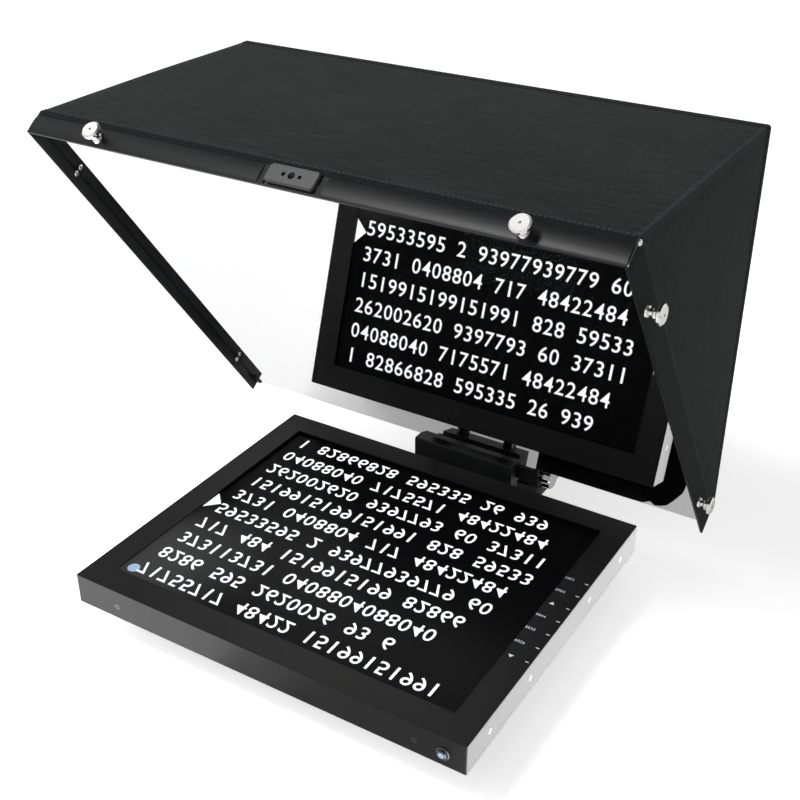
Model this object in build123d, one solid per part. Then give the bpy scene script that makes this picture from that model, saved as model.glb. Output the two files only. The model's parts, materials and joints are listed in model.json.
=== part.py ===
"""Through-the-glass teleprompter: flat prompter monitor, tilting beam-splitter hood, 15 mm rod rig.

Frame: origin at the mouth of the tripod thread under the base plate, X to the right as seen
from the front, Y from the presenter towards the camera operator, Z up. Millimetres.
"""
from build123d import *
from math import cos, radians, sin, tan
import os

# ---------------------------------------------------------------- driving dimensions
# Clearances
RUNNING = 0.05          # radial, shaft in bore
FREE = 0.25             # radial, screw in clearance hole
SEAT_GAP = 0.3          # between faces of pieces that move past each other

# Rod rig (standard 15 mm lightweight support)
ROD_RADIUS = 7.5
ROD_SPACING = 60.0
ROD_REAR_Y = 135.0
ROD_FRONT_STICKOUT = 65.0     # rod ahead of the monitor saddle
ROD_BED = 4.0                 # metal between the base plate and the rods
ROD_CHAMFER = 1.0
ROD_GROOVE_FROM_BASE = 0.6
ROD_GROOVE_WIDTH = 0.8
ROD_GROOVE_DEPTH = 0.3
CLAMP_WALL = 4.5              # metal above and below the rods
CLAMP_SIDE_WALL = 12.5        # metal outside the rods, room for the screws
CLAMP_SCREW_INSET = 6.0       # base screws from the clamps' ends
CLAMP_WEB = 1.5               # left between a side screw's bore and the rod

# Base plate and camera riser
BASE_MARGIN = 7.0             # base plate outside the riser
BASE_THICK = 12.0
BASE_CORNER = 6.0
BASE_SCREW_GRIP = 8.5         # screw thread in the base plate
BASE_FRONT_Y = -70.0
BASE_REAR_Y = 110.0
BASE_CLAMP_LENGTH = 20.0
BASE_CLAMP_INSET = 4.0
TRIPOD_THREAD_RADIUS = 4.76   # 3/8 in
SMALL_THREAD_RADIUS = 3.175   # 1/4 in
SMALL_THREAD_Y = 28.0
RISER_FRONT_Y = -40.0
RISER_REAR_Y = 104.0
RISER_HEIGHT = 122.0
RISER_WALL = 6.0
RISER_TO_CLAMP = 2.0
RISER_TOP_THICK = 8.0
RISER_CORNER = 4.0
RISER_SLOT_WIDTH = 10.0
DECK_SCREW_RADIUS = 2.0
DECK_SCREW_HEAD_RADIUS = 3.8
DECK_SCREW_PITCH = 100.0
DECK_SCREW_GRIP = 9.0         # screw thread in the riser's side
CAMERA_PLATE_WIDTH = 84.0
CAMERA_PLATE_LENGTH = 110.0
CAMERA_PLATE_THICK = 10.0
CAMERA_PLATE_Y = 20.0
PLATE_CORNER = 5.0
PAD_THICK = 2.0
PAD_INSET = 6.0
TONGUE_DEPTH = 4.0
TONGUE_END = 5.0              # tongue past the screw axes
CAMERA_STUD_LENGTH = 5.5      # thread above the pad
CAMERA_STUD_HEAD_RADIUS = 11.0
CAMERA_STUD_NECK_RADIUS = 2.4  # plain shank below the thread, so that the screw stays captive
CAMERA_STUD_NECK_ABOVE = 0.4   # neck showing above the pad
CAMERA_TRAVEL = 25.0          # each way
CAMERA_SCREW_FROM_LOCK = 30.0

# Prompter carriage: clamp on the rods, upright, cross beam, hinge ears
BEAM_FRONT_Y = -140.0
BEAM_DEPTH = 36.0
BEAM_WIDTH = 123.0
BEAM_ABOVE_MONITOR = 6.7
BEAM_HEIGHT = 25.0
BEAM_BEVEL = 1.5
UPRIGHT_THICK = 20.0
UPRIGHT_SETBACK = 8.0
CARRIAGE_CLAMP_LENGTH = 40.0
HINGE_Y = -113.0
HINGE_ABOVE_BEAM = 11.3
HINGE_PIN_RADIUS = 4.0
HINGE_PIN_HEAD = 2.0          # height of the pin's heads
HINGE_PIN_LIP = 2.5           # heads larger than the pin
EAR_RADIUS = 10.0
EAR_THICK = 10.0
EAR_INNER_X = 33.0
ARM_THICK = 6.0
LOCK_PLATE_THICK = 4.0
LOCK_PLATE_FROM_BEAM = 24.5
LUG_HALF = 8.0                # lug for the tilt lock screw
LUG_BORE_DEPTH = 18.0
LUG_SHANK = 14.0              # lock screw in the lug
LOCK_RADIUS = 24.5            # tilt lock screw from the hinge axis
LOCK_DIRECTION = -101.5       # lock screw seen from the hinge, degrees from +Y towards +Z
LOCK_SCREW_RADIUS = 3.0
TILT_FORWARD = 9.2            # degrees, to a 45 degree glass
TILT_BACK = 10.0

# Glass frame
FRAME_ANGLE = 54.24           # glass from the horizontal
FRAME_LENGTH = 487.0          # side bar, along the glass
FOOT_FROM_HINGE_Y = -22.3     # lower rear corner of the side bar, from the hinge axis
FOOT_FROM_HINGE_Z = 8.5
HOOD_WIDTH = 563.9
FLANGE_DEPTH = 24.15
SHEET = 2.0                   # bar wall
LEDGE_WIDTH = 8.0
GASKET_THICK = 1.0
GLASS_THICK = 3.0
GLASS_RECESS = 11.18          # glass face behind the front edge of the frame
GLASS_EDGE_GAP = 1.0
CROSSBAR_HEIGHT = 20.0
CROSSBAR_PLAY = 0.3           # crossbar to glass, and to the frame's rear edge
CLIP_WIDTH = 6.0
CLIP_REACH = 14.0
CLIP_THICK = 1.5
RIVET_RADIUS = 2.4
RIVET_ALONG = 5.5
RIVET_FROM_FRONT = 5.0

# Hood panels
HOOD_REAR_FROM_FOOT = 8.6
PANEL = 3.0
LENS_OPENING_WIDTH = 300.0
LENS_OPENING_HEIGHT = 240.0
LENS_ABOVE_HINGE = 206.0
SLEEVE_LENGTH = 110.0
SLEEVE_END_WIDTH = 150.0
SLEEVE_END_HEIGHT = 130.0
SLEEVE_SAG = 8.0
SLEEVE_WALL = 1.5
SLEEVE_CORNER = 20.0
REAR_NOTCH_MARGIN = 8.7       # beside the hinge arms
REAR_NOTCH_HEIGHT = 22.0
LOCK_BAY_MARGIN = 3.0

# Thumbscrews on the frame
THUMB_DEPTH = 16.5            # axis from the rear edge of the flange
THUMB_TOP_INSET = 80.0        # from the frame's sides
THUMB_SIDE_UPPER = 69.0       # along the side bar from its top
THUMB_SIDE_LOWER = 424.0
THUMB_SHANK_RADIUS = 2.5
THUMB_HEAD_RADIUS = 8.4
THUMB_HEIGHT = 14.6
THUMB_RIM = 2.2               # straight edge of the head
THUMB_STUB = 4.0              # thread end inside the flange
BUTTON_HEAD_RADIUS = 4.4
BUTTON_HEAD_HEIGHT = 1.9
BUTTON_SOCKET_RADIUS = 1.7

# Accessory plate on the top bar
ACCESSORY_WIDTH = 47.5
ACCESSORY_HEIGHT = 17.0
ACCESSORY_THICK = 6.0
ACCESSORY_CORNER = 3.4
ACCESSORY_BEVEL = 0.9
ACCESSORY_GAP = 1.0
ACCESSORY_FLANGE = 1.2
ACCESSORY_FLANGE_REACH = 6.0
ACCESSORY_DEPTH = 13.0        # centre from the rear edge of the flange
ACCESSORY_PIN_RADIUS = 1.8
ACCESSORY_PIN_PITCH = 15.4

# Monitor (19 in 5:4 panel)
MONITOR_WIDTH = 433.0
MONITOR_DEPTH = 360.5
MONITOR_HEIGHT = 32.3
MONITOR_GAP = 19.7            # rear wall to cross beam
MONITOR_WALL = 1.5
MONITOR_CORNER = 1.2
BEZEL_SIDE = 27.5
BEZEL_END = 28.25
WINDOW_RECESS = 3.5
LCD_OVERLAP = 6.0             # panel under the bezel, each side
LCD_THICK = 2.0
BACKLIGHT_THICK = 9.0
BACKLIGHT_MARGIN = 2.0
BOARD_THICK = 1.6
BOARD_STANDOFF = 3.0
CONTROLLER_X = (-110.0, 50.0)
CONTROLLER_Y = (-105.0, -25.0)    # boards are placed from the monitor's centre
CONTROLLER_CHIPS = ((-75.0, 22.0, 2.0), (-25.0, 28.0, 2.2), (18.0, 14.0, 1.6))   # x, size, height
POWER_BOARD_WIDTH = 80.0
POWER_BOARD_Y = (-60.0, 20.0)
POWER_BOARD_FROM_KEYS = 25.0
POWER_BOARD_CANS = ((-62.0, -40.0, 5.0), (-62.0, -22.0, 5.0), (-30.0, -34.0, 8.0))   # x, y, radius
POWER_CAN_HEIGHT = 7.0
VENT_ROWS = 9
VENT_PITCH = 9.0
VENT_X = 130.0
VENT_LENGTH = 60.0
VENT_WIDTH = 3.0
VENT_FIRST_Y = 40.0           # from the monitor's centre
VESA_PITCH = 100.0
VESA_SCREW_RADIUS = 2.0
VESA_HEAD_RADIUS = 3.5
VESA_HEAD_HEIGHT = 2.6
VESA_SCREW_GRIP = 6.0         # screw thread in the monitor
VESA_MARGIN = 12.0            # plate past the front holes
VESA_PLATE_WIDTH = 120.0
VESA_PLATE_THICK = 4.0
SADDLE_LENGTH = 50.0
SADDLE_SIDE_WALL = 6.5
SADDLE_ROOF = 4.7             # metal between the rods and the mounting plate
SADDLE_TO_SCREWS = 1.75

# Controls and sockets on the monitor
KEY_COUNT = 7
KEY_PITCH = 21.3
KEY_RADIUS = 3.0
KEY_FROM_SIDE = 11.5
KEY_PROUD = 1.5
KEY_LIP = 1.4
KEY_LIP_THICK = 0.8
KEY_STEM_RADIUS = 1.2
KEY_STEM = 2.1
KEY_TRAVEL = 0.6              # stem to switch
SWITCH_HEIGHT = 1.2
SWITCH_HALF = 3.0
POWER_FROM_SIDE = 22.5
POWER_Z = -19.0               # from the monitor's top face
POWER_CAP_RADIUS = 4.6
POWER_RING_RADIUS = 6.6
POWER_RING_PROUD = 1.6
POWER_CAP_PROUD = 3.4
SIDE_SCREW_Y = (139.7, 64.2, -63.4, -139.5)   # from the monitor's centre
SIDE_SCREW_Z = -17.0
END_SCREW_FROM_SIDE = 50.5
END_SCREW_Z = -19.0
SMALL_SCREW_RADIUS = 1.5
SMALL_SCREW_HEAD_RADIUS = 2.8
SMALL_SCREW_HEAD_DEPTH = 1.2
SMALL_SCREW_LENGTH = 6.0
SCREW_TAB_WALL = 1.3
SCREW_TAB_HALF = 6.0
SCREW_TAB_HEIGHT = 24.2
INLET_Y = -110.0              # row of sockets, from the monitor's centre
INLET_HEIGHT = 12.0
INLET_PLAY = 0.3
INLET_FLOOR = 3.0             # closed end of a socket
BNC_RADIUS = 4.8
BNC_LENGTH = 8.0
VGA_LENGTH = 5.5
VGA_NUT_X = 12.5
JACK_RADIUS = 2.9
JACK_PIN_RADIUS = 1.0
# x, width and depth of each socket's body
INLET_SIZES = ((-60.0, 16.0, 13.0), (-20.0, 31.0, 12.5), (25.0, 17.0, 8.0), (60.0, 14.0, 14.0))

# Knobs and cap screws
KNOB_RADIUS = 12.0
KNOB_THICK = 9.0
KNOB_SHANK_RADIUS = 3.0
KNOB_COLLAR_RADIUS = 7.0
KNOB_COLLAR = 3.0
KNOB_FLUTES = 12
KNOB_FLUTE_RADIUS = 1.6
CAP_SCREW_RADIUS = 2.5
CAP_HEAD_RADIUS = 4.25
CAP_HEAD_HEIGHT = 5.0

# ---------------------------------------------------------------- derived places
# Heights, from the base plate up
ROD_Z = BASE_THICK + ROD_BED + ROD_RADIUS
ROD_X = ROD_SPACING / 2
CLAMP_HEIGHT = 2 * (ROD_RADIUS + CLAMP_WALL)
CLAMP_BOTTOM_Z = ROD_Z - CLAMP_HEIGHT / 2
CLAMP_TOP_Z = ROD_Z + CLAMP_HEIGHT / 2
VESA_PLATE_BOTTOM_Z = ROD_Z + ROD_RADIUS + SADDLE_ROOF
MONITOR_BOTTOM_Z = VESA_PLATE_BOTTOM_Z + VESA_PLATE_THICK
MONITOR_TOP_Z = MONITOR_BOTTOM_Z + MONITOR_HEIGHT
BEAM_TOP_Z = MONITOR_TOP_Z + BEAM_ABOVE_MONITOR
HINGE_Z = BEAM_TOP_Z + HINGE_ABOVE_BEAM
LENS_AXIS_Z = HINGE_Z + LENS_ABOVE_HINGE
RISER_TOP_Z = BASE_THICK + RISER_HEIGHT
DECK_Z = RISER_TOP_Z + RISER_TOP_THICK
CAMERA_PLATE_Z = DECK_Z + SEAT_GAP
PAD_TOP_Z = CAMERA_PLATE_Z + CAMERA_PLATE_THICK + PAD_THICK

# Widths, from the rods outwards
CLAMP_WIDTH = ROD_SPACING + 2 * (ROD_RADIUS + CLAMP_SIDE_WALL)
SADDLE_WIDTH = ROD_SPACING + 2 * (ROD_RADIUS + SADDLE_SIDE_WALL)
RISER_INNER_X = CLAMP_WIDTH / 2 + RISER_TO_CLAMP
RISER_OUTER_X = RISER_INNER_X + RISER_WALL
BASE_WIDTH = 2 * (RISER_OUTER_X + BASE_MARGIN)
ARM_INNER_X = EAR_INNER_X + EAR_THICK + SEAT_GAP
LOCK_PLATE_X = BEAM_WIDTH / 2 + LOCK_PLATE_FROM_BEAM
TONGUE_LENGTH = CAMERA_SCREW_FROM_LOCK + 2 * TONGUE_END
RISER_SLOT_LENGTH = TONGUE_LENGTH + 2 * CAMERA_TRAVEL + RISER_SLOT_WIDTH + 2 * SEAT_GAP
BASE_CLAMP_FRONTS = (BASE_FRONT_Y + BASE_CLAMP_INSET, BASE_REAR_Y - BASE_CLAMP_INSET - BASE_CLAMP_LENGTH)

# Glass frame and hood
ANGLE = radians(FRAME_ANGLE)
FOOT_Y = HINGE_Y + FOOT_FROM_HINGE_Y
FOOT_Z = HINGE_Z + FOOT_FROM_HINGE_Z
CROWN_Y = FOOT_Y - FRAME_LENGTH * cos(ANGLE)
CROWN_Z = FOOT_Z + FRAME_LENGTH * sin(ANGLE)
HALF_WIDTH = HOOD_WIDTH / 2
INNER_HALF = HALF_WIDTH - SHEET
GLASS_HALF = INNER_HALF - GLASS_EDGE_GAP
THUMB_TOP_X = HALF_WIDTH - THUMB_TOP_INSET
HOOD_REAR_Y = FOOT_Y + HOOD_REAR_FROM_FOOT
GLASS_FRONT = FLANGE_DEPTH - GLASS_RECESS
GLASS_BACK = GLASS_FRONT - GLASS_THICK
LEDGE_FRONT = GLASS_BACK - GASKET_THICK
LEDGE_BACK = LEDGE_FRONT - SHEET
CROSSBAR_END = FRAME_LENGTH - GLASS_EDGE_GAP
CROSSBAR_TOP = CROSSBAR_END - CROSSBAR_HEIGHT
CROSSBAR_BACK = CROSSBAR_PLAY
CROSSBAR_FRONT = GLASS_BACK - CROSSBAR_PLAY

# Monitor, from its rear wall forwards
MONITOR_REAR_Y = BEAM_FRONT_Y - MONITOR_GAP
MONITOR_Y = MONITOR_REAR_Y - MONITOR_DEPTH / 2
MONITOR_FRONT_Y = MONITOR_Y - MONITOR_DEPTH / 2
WINDOW_HALF_X = MONITOR_WIDTH / 2 - BEZEL_SIDE
WINDOW_HALF_Y = MONITOR_DEPTH / 2 - BEZEL_END
SADDLE_FRONT_Y = MONITOR_Y + VESA_PITCH / 2 + VESA_HEAD_RADIUS + SADDLE_TO_SCREWS
SADDLE_REAR_Y = SADDLE_FRONT_Y + SADDLE_LENGTH
ROD_FRONT_Y = SADDLE_FRONT_Y - ROD_FRONT_STICKOUT
KEY_X = MONITOR_WIDTH / 2 - KEY_FROM_SIDE
KEY_HOLE_RADIUS = KEY_RADIUS + SEAT_GAP
POWER_X = MONITOR_WIDTH / 2 - POWER_FROM_SIDE
END_SCREW_X = MONITOR_WIDTH / 2 - END_SCREW_FROM_SIDE

os.makedirs("parts", exist_ok=True)


# ---------------------------------------------------------------- helpers
def save(name, shape):
    """Writes one node; a list is a group of separate solids."""
    if isinstance(shape, list):
        shape = Compound(children=shape)
    export_step(shape, f"parts/{name}.step")


def block(x, y, z):
    """A box from three (low, high) pairs."""
    size = [high - low for low, high in (x, y, z)]
    middle = [(low + high) / 2 for low, high in (x, y, z)]
    return Pos(*middle) * Box(*size)


def bar_x(radius, x, y, z):
    """A cylinder along X between the two ends in x."""
    place = Plane(origin=(x[0], y, z), z_dir=(1, 0, 0))
    return extrude(place * Circle(radius), x[1] - x[0])


def bar_y(radius, x, y, z):
    """A cylinder along Y between the two ends in y."""
    place = Plane(origin=(x, y[0], z), z_dir=(0, 1, 0))
    return extrude(place * Circle(radius), y[1] - y[0])


def bar_z(radius, x, y, z):
    """A cylinder along Z between the two ends in z."""
    return Pos(x, y, z[0]) * extrude(Circle(radius), z[1] - z[0])


def slab_x(points, x0, x1):
    """A (y, z) outline drawn out along X."""
    return extrude(Plane.YZ.offset(x0) * Polygon(*points, align=None), x1 - x0, dir=(1, 0, 0))


def on_frame(along, depth):
    """(y, z) of a point of the glass frame: along the bar from its top, and out from its rear edge."""
    return (
        CROWN_Y + along * cos(ANGLE) - depth * sin(ANGLE),
        CROWN_Z - along * sin(ANGLE) - depth * cos(ANGLE),
    )


def frame_slab(x0, x1, along, depth):
    """A box in the frame's own directions."""
    corners = [(along[0], depth[0]), (along[1], depth[0]), (along[1], depth[1]), (along[0], depth[1])]
    return slab_x([on_frame(*corner) for corner in corners], x0, x1)


def frame_plane(x, along, depth):
    """Plane on the frame that faces up the bars: its Z runs away from the glass at the top bar."""
    y, z = on_frame(along, depth)
    return Plane(origin=(x, y, z), x_dir=(1, 0, 0), z_dir=(0, -cos(ANGLE), sin(ANGLE)))


def turned(profile):
    """A solid of revolution about Z from (radius, height) points."""
    return revolve(Plane.XZ * Polygon(*profile, align=None), Axis.Z)


def cap_screw(radius, length, head_radius, head_height):
    """Socket cap screw with its head's underside at the origin and its shank down -Z."""
    screw = bar_z(head_radius, 0, 0, (0, head_height)) + bar_z(radius, 0, 0, (-length, 0))
    socket = Pos(0, 0, head_height / 2) * extrude(RegularPolygon(head_radius * 0.55, 6), head_height)
    return screw - socket


def flat_screw(place):
    """Small countersunk screw, head flush with the plane's face and shank going in."""
    screw = turned([
        (0, 0), (SMALL_SCREW_HEAD_RADIUS, 0), (SMALL_SCREW_RADIUS, -SMALL_SCREW_HEAD_DEPTH),
        (SMALL_SCREW_RADIUS, -SMALL_SCREW_LENGTH), (0, -SMALL_SCREW_LENGTH),
    ])
    slot = Box(SMALL_SCREW_HEAD_RADIUS * 1.1, 0.7, 1.2) + Box(0.7, SMALL_SCREW_HEAD_RADIUS * 1.1, 1.2)
    return place * (screw - slot)


def flat_screw_hole(place):
    """The hole that flat_screw fills, a little larger."""
    return place * turned([
        (0, 0.5), (SMALL_SCREW_HEAD_RADIUS + 0.6, 0.5), (SMALL_SCREW_HEAD_RADIUS + 0.1, 0),
        (SMALL_SCREW_RADIUS + 0.1, -SMALL_SCREW_HEAD_DEPTH),
        (SMALL_SCREW_RADIUS + 0.1, -SMALL_SCREW_LENGTH - 1), (0, -SMALL_SCREW_LENGTH - 1),
    ])


def clamp_knob(shank_length, shank_radius=KNOB_SHANK_RADIUS):
    """Knurled clamp knob: shank down -Z from the origin, collar and lobed head above it."""
    top = KNOB_COLLAR + KNOB_THICK
    head = bar_z(KNOB_RADIUS, 0, 0, (KNOB_COLLAR, top))
    head = chamfer(head.edges().filter_by(GeomType.CIRCLE), 1.0)
    cutter = bar_z(KNOB_FLUTE_RADIUS, KNOB_RADIUS + 0.4 * KNOB_FLUTE_RADIUS, 0, (0, top + 1))
    for turn in range(KNOB_FLUTES):
        head -= Rot(0, 0, 360 / KNOB_FLUTES * turn) * cutter
    collar = bar_z(KNOB_COLLAR_RADIUS, 0, 0, (SEAT_GAP, KNOB_COLLAR))
    shank = bar_z(shank_radius, 0, 0, (-shank_length, SEAT_GAP))
    return head + collar + shank


def rod_bores(y0, y1):
    """Both rod bores of a block that runs from y0 to y1."""
    return [bar_y(ROD_RADIUS + RUNNING, side * ROD_X, (y0 - 1, y1 + 1), ROD_Z) for side in (-1, 1)]


def clamp_screw_bore(half_width, y):
    """Bore of a rod clamp's side screw, from the clamp's left face to just short of the rod."""
    return bar_x(KNOB_SHANK_RADIUS + RUNNING, (-half_width - 1, -ROD_X - ROD_RADIUS - CLAMP_WEB), y, ROD_Z)


def side_clamp_knob(half_width, y):
    """Knob of a rod clamp's side screw, in the clamp's left face."""
    place = Plane(origin=(-half_width, y, ROD_Z), z_dir=(-1, 0, 0))
    return place * clamp_knob(half_width - ROD_X - ROD_RADIUS - CLAMP_WEB - 0.5)


# ---------------------------------------------------------------- base, rods and riser
def make_base():
    """Base plate, the two rod clamps screwed to it and the rods; returns the screws."""
    plate = block((-BASE_WIDTH / 2, BASE_WIDTH / 2), (BASE_FRONT_Y, BASE_REAR_Y), (0, BASE_THICK))
    plate = fillet(plate.edges().filter_by(Axis.Z), BASE_CORNER)
    plate -= bar_z(TRIPOD_THREAD_RADIUS, 0, 0, (-1, BASE_THICK + 1))
    plate -= bar_z(SMALL_THREAD_RADIUS, 0, SMALL_THREAD_Y, (-1, BASE_THICK + 1))
    screw_length = CLAMP_TOP_Z - BASE_THICK + BASE_SCREW_GRIP
    screw = cap_screw(CAP_SCREW_RADIUS, screw_length, CAP_HEAD_RADIUS, CAP_HEAD_HEIGHT)
    hole = bar_z(CAP_SCREW_RADIUS + FREE, 0, 0, (-screw_length - 1, 1))
    screws = []
    clamps = []
    for front in BASE_CLAMP_FRONTS:
        span = (front, front + BASE_CLAMP_LENGTH)
        clamp = block((-CLAMP_WIDTH / 2, CLAMP_WIDTH / 2), span, (BASE_THICK, CLAMP_TOP_Z))
        for bore in rod_bores(*span):
            clamp -= bore
        for side in (-1, 1):
            x = side * (CLAMP_WIDTH / 2 - CLAMP_SCREW_INSET)
            place = Pos(x, front + BASE_CLAMP_LENGTH / 2, CLAMP_TOP_Z)
            screws.append(place * screw)
            plate -= place * hole
            clamp -= place * hole
        clamps.append(clamp)
    save("base_plate", plate)
    save("base_rod_clamps", clamps)
    rods = []
    for side in (-1, 1):
        rod = bar_y(ROD_RADIUS, side * ROD_X, (ROD_FRONT_Y, ROD_REAR_Y), ROD_Z)
        rod = chamfer(rod.edges().filter_by(GeomType.CIRCLE), ROD_CHAMFER)
        rods.append(rod - rod_groove(side * ROD_X))
    save("rods", rods)
    return screws


def rod_groove(x):
    """Shallow ring that marks where the clamps end and the free end of a rod begins."""
    front = BASE_REAR_Y + ROD_GROOVE_FROM_BASE
    span = (front, front + ROD_GROOVE_WIDTH)
    ring = bar_y(ROD_RADIUS + 1, x, span, ROD_Z)
    return ring - bar_y(ROD_RADIUS - ROD_GROOVE_DEPTH, x, span, ROD_Z)


def deck_screw():
    """Countersunk screw, long enough to reach through the deck into a riser side."""
    shank, head, depth = DECK_SCREW_RADIUS, DECK_SCREW_HEAD_RADIUS, RISER_TOP_THICK + DECK_SCREW_GRIP
    screw = turned([(0, 0), (head, 0), (shank, shank - head), (shank, -depth), (0, -depth)])
    return screw - Pos(0, 0, -2.0) * extrude(RegularPolygon(0.8 * shank, 6), 3.0)


def deck_screw_hole():
    """The hole that deck_screw fills, a little larger."""
    shank, head = DECK_SCREW_RADIUS + 0.1, DECK_SCREW_HEAD_RADIUS + 0.1
    depth = RISER_TOP_THICK + DECK_SCREW_GRIP + 1.0
    return turned([(0, 1), (head, 1), (head, 0), (shank, shank - head), (shank, -depth), (0, -depth)])


def make_riser(screws):
    length = (RISER_FRONT_Y, RISER_REAR_Y)
    middle_y = (RISER_FRONT_Y + RISER_REAR_Y) / 2
    sides = []
    top = block((-RISER_OUTER_X, RISER_OUTER_X), length, (RISER_TOP_Z, DECK_Z))
    top = fillet(top.edges().filter_by(Axis.Z), RISER_CORNER)
    slot = Pos(0, CAMERA_PLATE_Y, RISER_TOP_Z) * extrude(
        Rot(0, 0, 90) * SlotOverall(RISER_SLOT_LENGTH, RISER_SLOT_WIDTH), RISER_TOP_THICK + 1
    )
    top -= Pos(0, 0, -0.5) * slot
    for side in (-1, 1):
        x = sorted((side * RISER_INNER_X, side * RISER_OUTER_X))
        sides.append(block(x, length, (BASE_THICK, RISER_TOP_Z)))
    for side in (-1, 1):
        for y in (middle_y - DECK_SCREW_PITCH / 2, middle_y + DECK_SCREW_PITCH / 2):
            x = side * (RISER_INNER_X + RISER_OUTER_X) / 2
            place = Pos(x, y, DECK_Z)
            screws.append(place * deck_screw())
            hole = place * deck_screw_hole()
            top -= hole
            sides = [wall - hole for wall in sides]
    save("riser_sides", sides)
    save("riser_top", top)
    save("base_screws", screws)


def under_deck_knob(radius, flutes, flute_radius, y):
    """Knurled head that hangs just under the riser's deck."""
    top = RISER_TOP_Z - SEAT_GAP
    head = bar_z(radius, 0, y, (top - KNOB_THICK, top))
    head = chamfer(head.edges().filter_by(GeomType.CIRCLE), 0.8)
    cutter = bar_z(flute_radius, radius + flute_radius * 0.4, 0, (top - KNOB_THICK - 1, top + 1))
    for turn in range(flutes):
        head -= Pos(0, y, 0) * Rot(0, 0, 360 / flutes * turn) * cutter
    return head


def make_camera_plate():
    y = (CAMERA_PLATE_Y - CAMERA_PLATE_LENGTH / 2, CAMERA_PLATE_Y + CAMERA_PLATE_LENGTH / 2)
    x = (-CAMERA_PLATE_WIDTH / 2, CAMERA_PLATE_WIDTH / 2)
    top_z = CAMERA_PLATE_Z + CAMERA_PLATE_THICK
    screw_y = CAMERA_PLATE_Y - CAMERA_SCREW_FROM_LOCK / 2
    lock_y = CAMERA_PLATE_Y + CAMERA_SCREW_FROM_LOCK / 2
    bottom_z = CAMERA_PLATE_Z - TONGUE_DEPTH
    plate = block(x, y, (CAMERA_PLATE_Z, top_z))
    plate = fillet(plate.edges().filter_by(Axis.Z), PLATE_CORNER)
    plate += block(
        (-RISER_SLOT_WIDTH / 2 + RUNNING, RISER_SLOT_WIDTH / 2 - RUNNING),
        (CAMERA_PLATE_Y - TONGUE_LENGTH / 2, CAMERA_PLATE_Y + TONGUE_LENGTH / 2), (bottom_z, CAMERA_PLATE_Z),
    )
    bore = bar_z(SMALL_THREAD_RADIUS + RUNNING, 0, screw_y, (bottom_z - 1, top_z + PAD_THICK + 1))
    lock_bore = bar_z(KNOB_SHANK_RADIUS + RUNNING, 0, lock_y, (bottom_z - 1, top_z - 2.0))
    save("camera_plate", plate - bore - lock_bore)
    inset = PAD_INSET
    pad = block((x[0] + inset, x[1] - inset), (y[0] + inset, y[1] - inset), (top_z, top_z + PAD_THICK))
    save("camera_pad", fillet(pad.edges().filter_by(Axis.Z), 4.0) - bore)

    under = RISER_TOP_Z - SEAT_GAP - 1.0
    thread_z = PAD_TOP_Z + CAMERA_STUD_NECK_ABOVE
    stud = bar_z(SMALL_THREAD_RADIUS, 0, screw_y, (thread_z, PAD_TOP_Z + CAMERA_STUD_LENGTH))
    stud = chamfer(stud.edges().filter_by(GeomType.CIRCLE).sort_by(Axis.Z)[-1], 0.6)
    stud += bar_z(CAMERA_STUD_NECK_RADIUS, 0, screw_y, (under, thread_z))
    save("camera_screw", under_deck_knob(CAMERA_STUD_HEAD_RADIUS, 24, 0.9, screw_y) + stud)
    shank = bar_z(KNOB_SHANK_RADIUS, 0, lock_y, (under, top_z - 3.0))
    save("plate_knob", under_deck_knob(KNOB_RADIUS, KNOB_FLUTES, KNOB_FLUTE_RADIUS, lock_y) + shank)


# ---------------------------------------------------------------- carriage
def lock_point(turn, radius=LOCK_RADIUS):
    """(y, z) about the hinge, turn degrees from the direction of the tilt lock screw."""
    direction = radians(LOCK_DIRECTION + turn)
    return (HINGE_Y + radius * cos(direction), HINGE_Z + radius * sin(direction))


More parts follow.
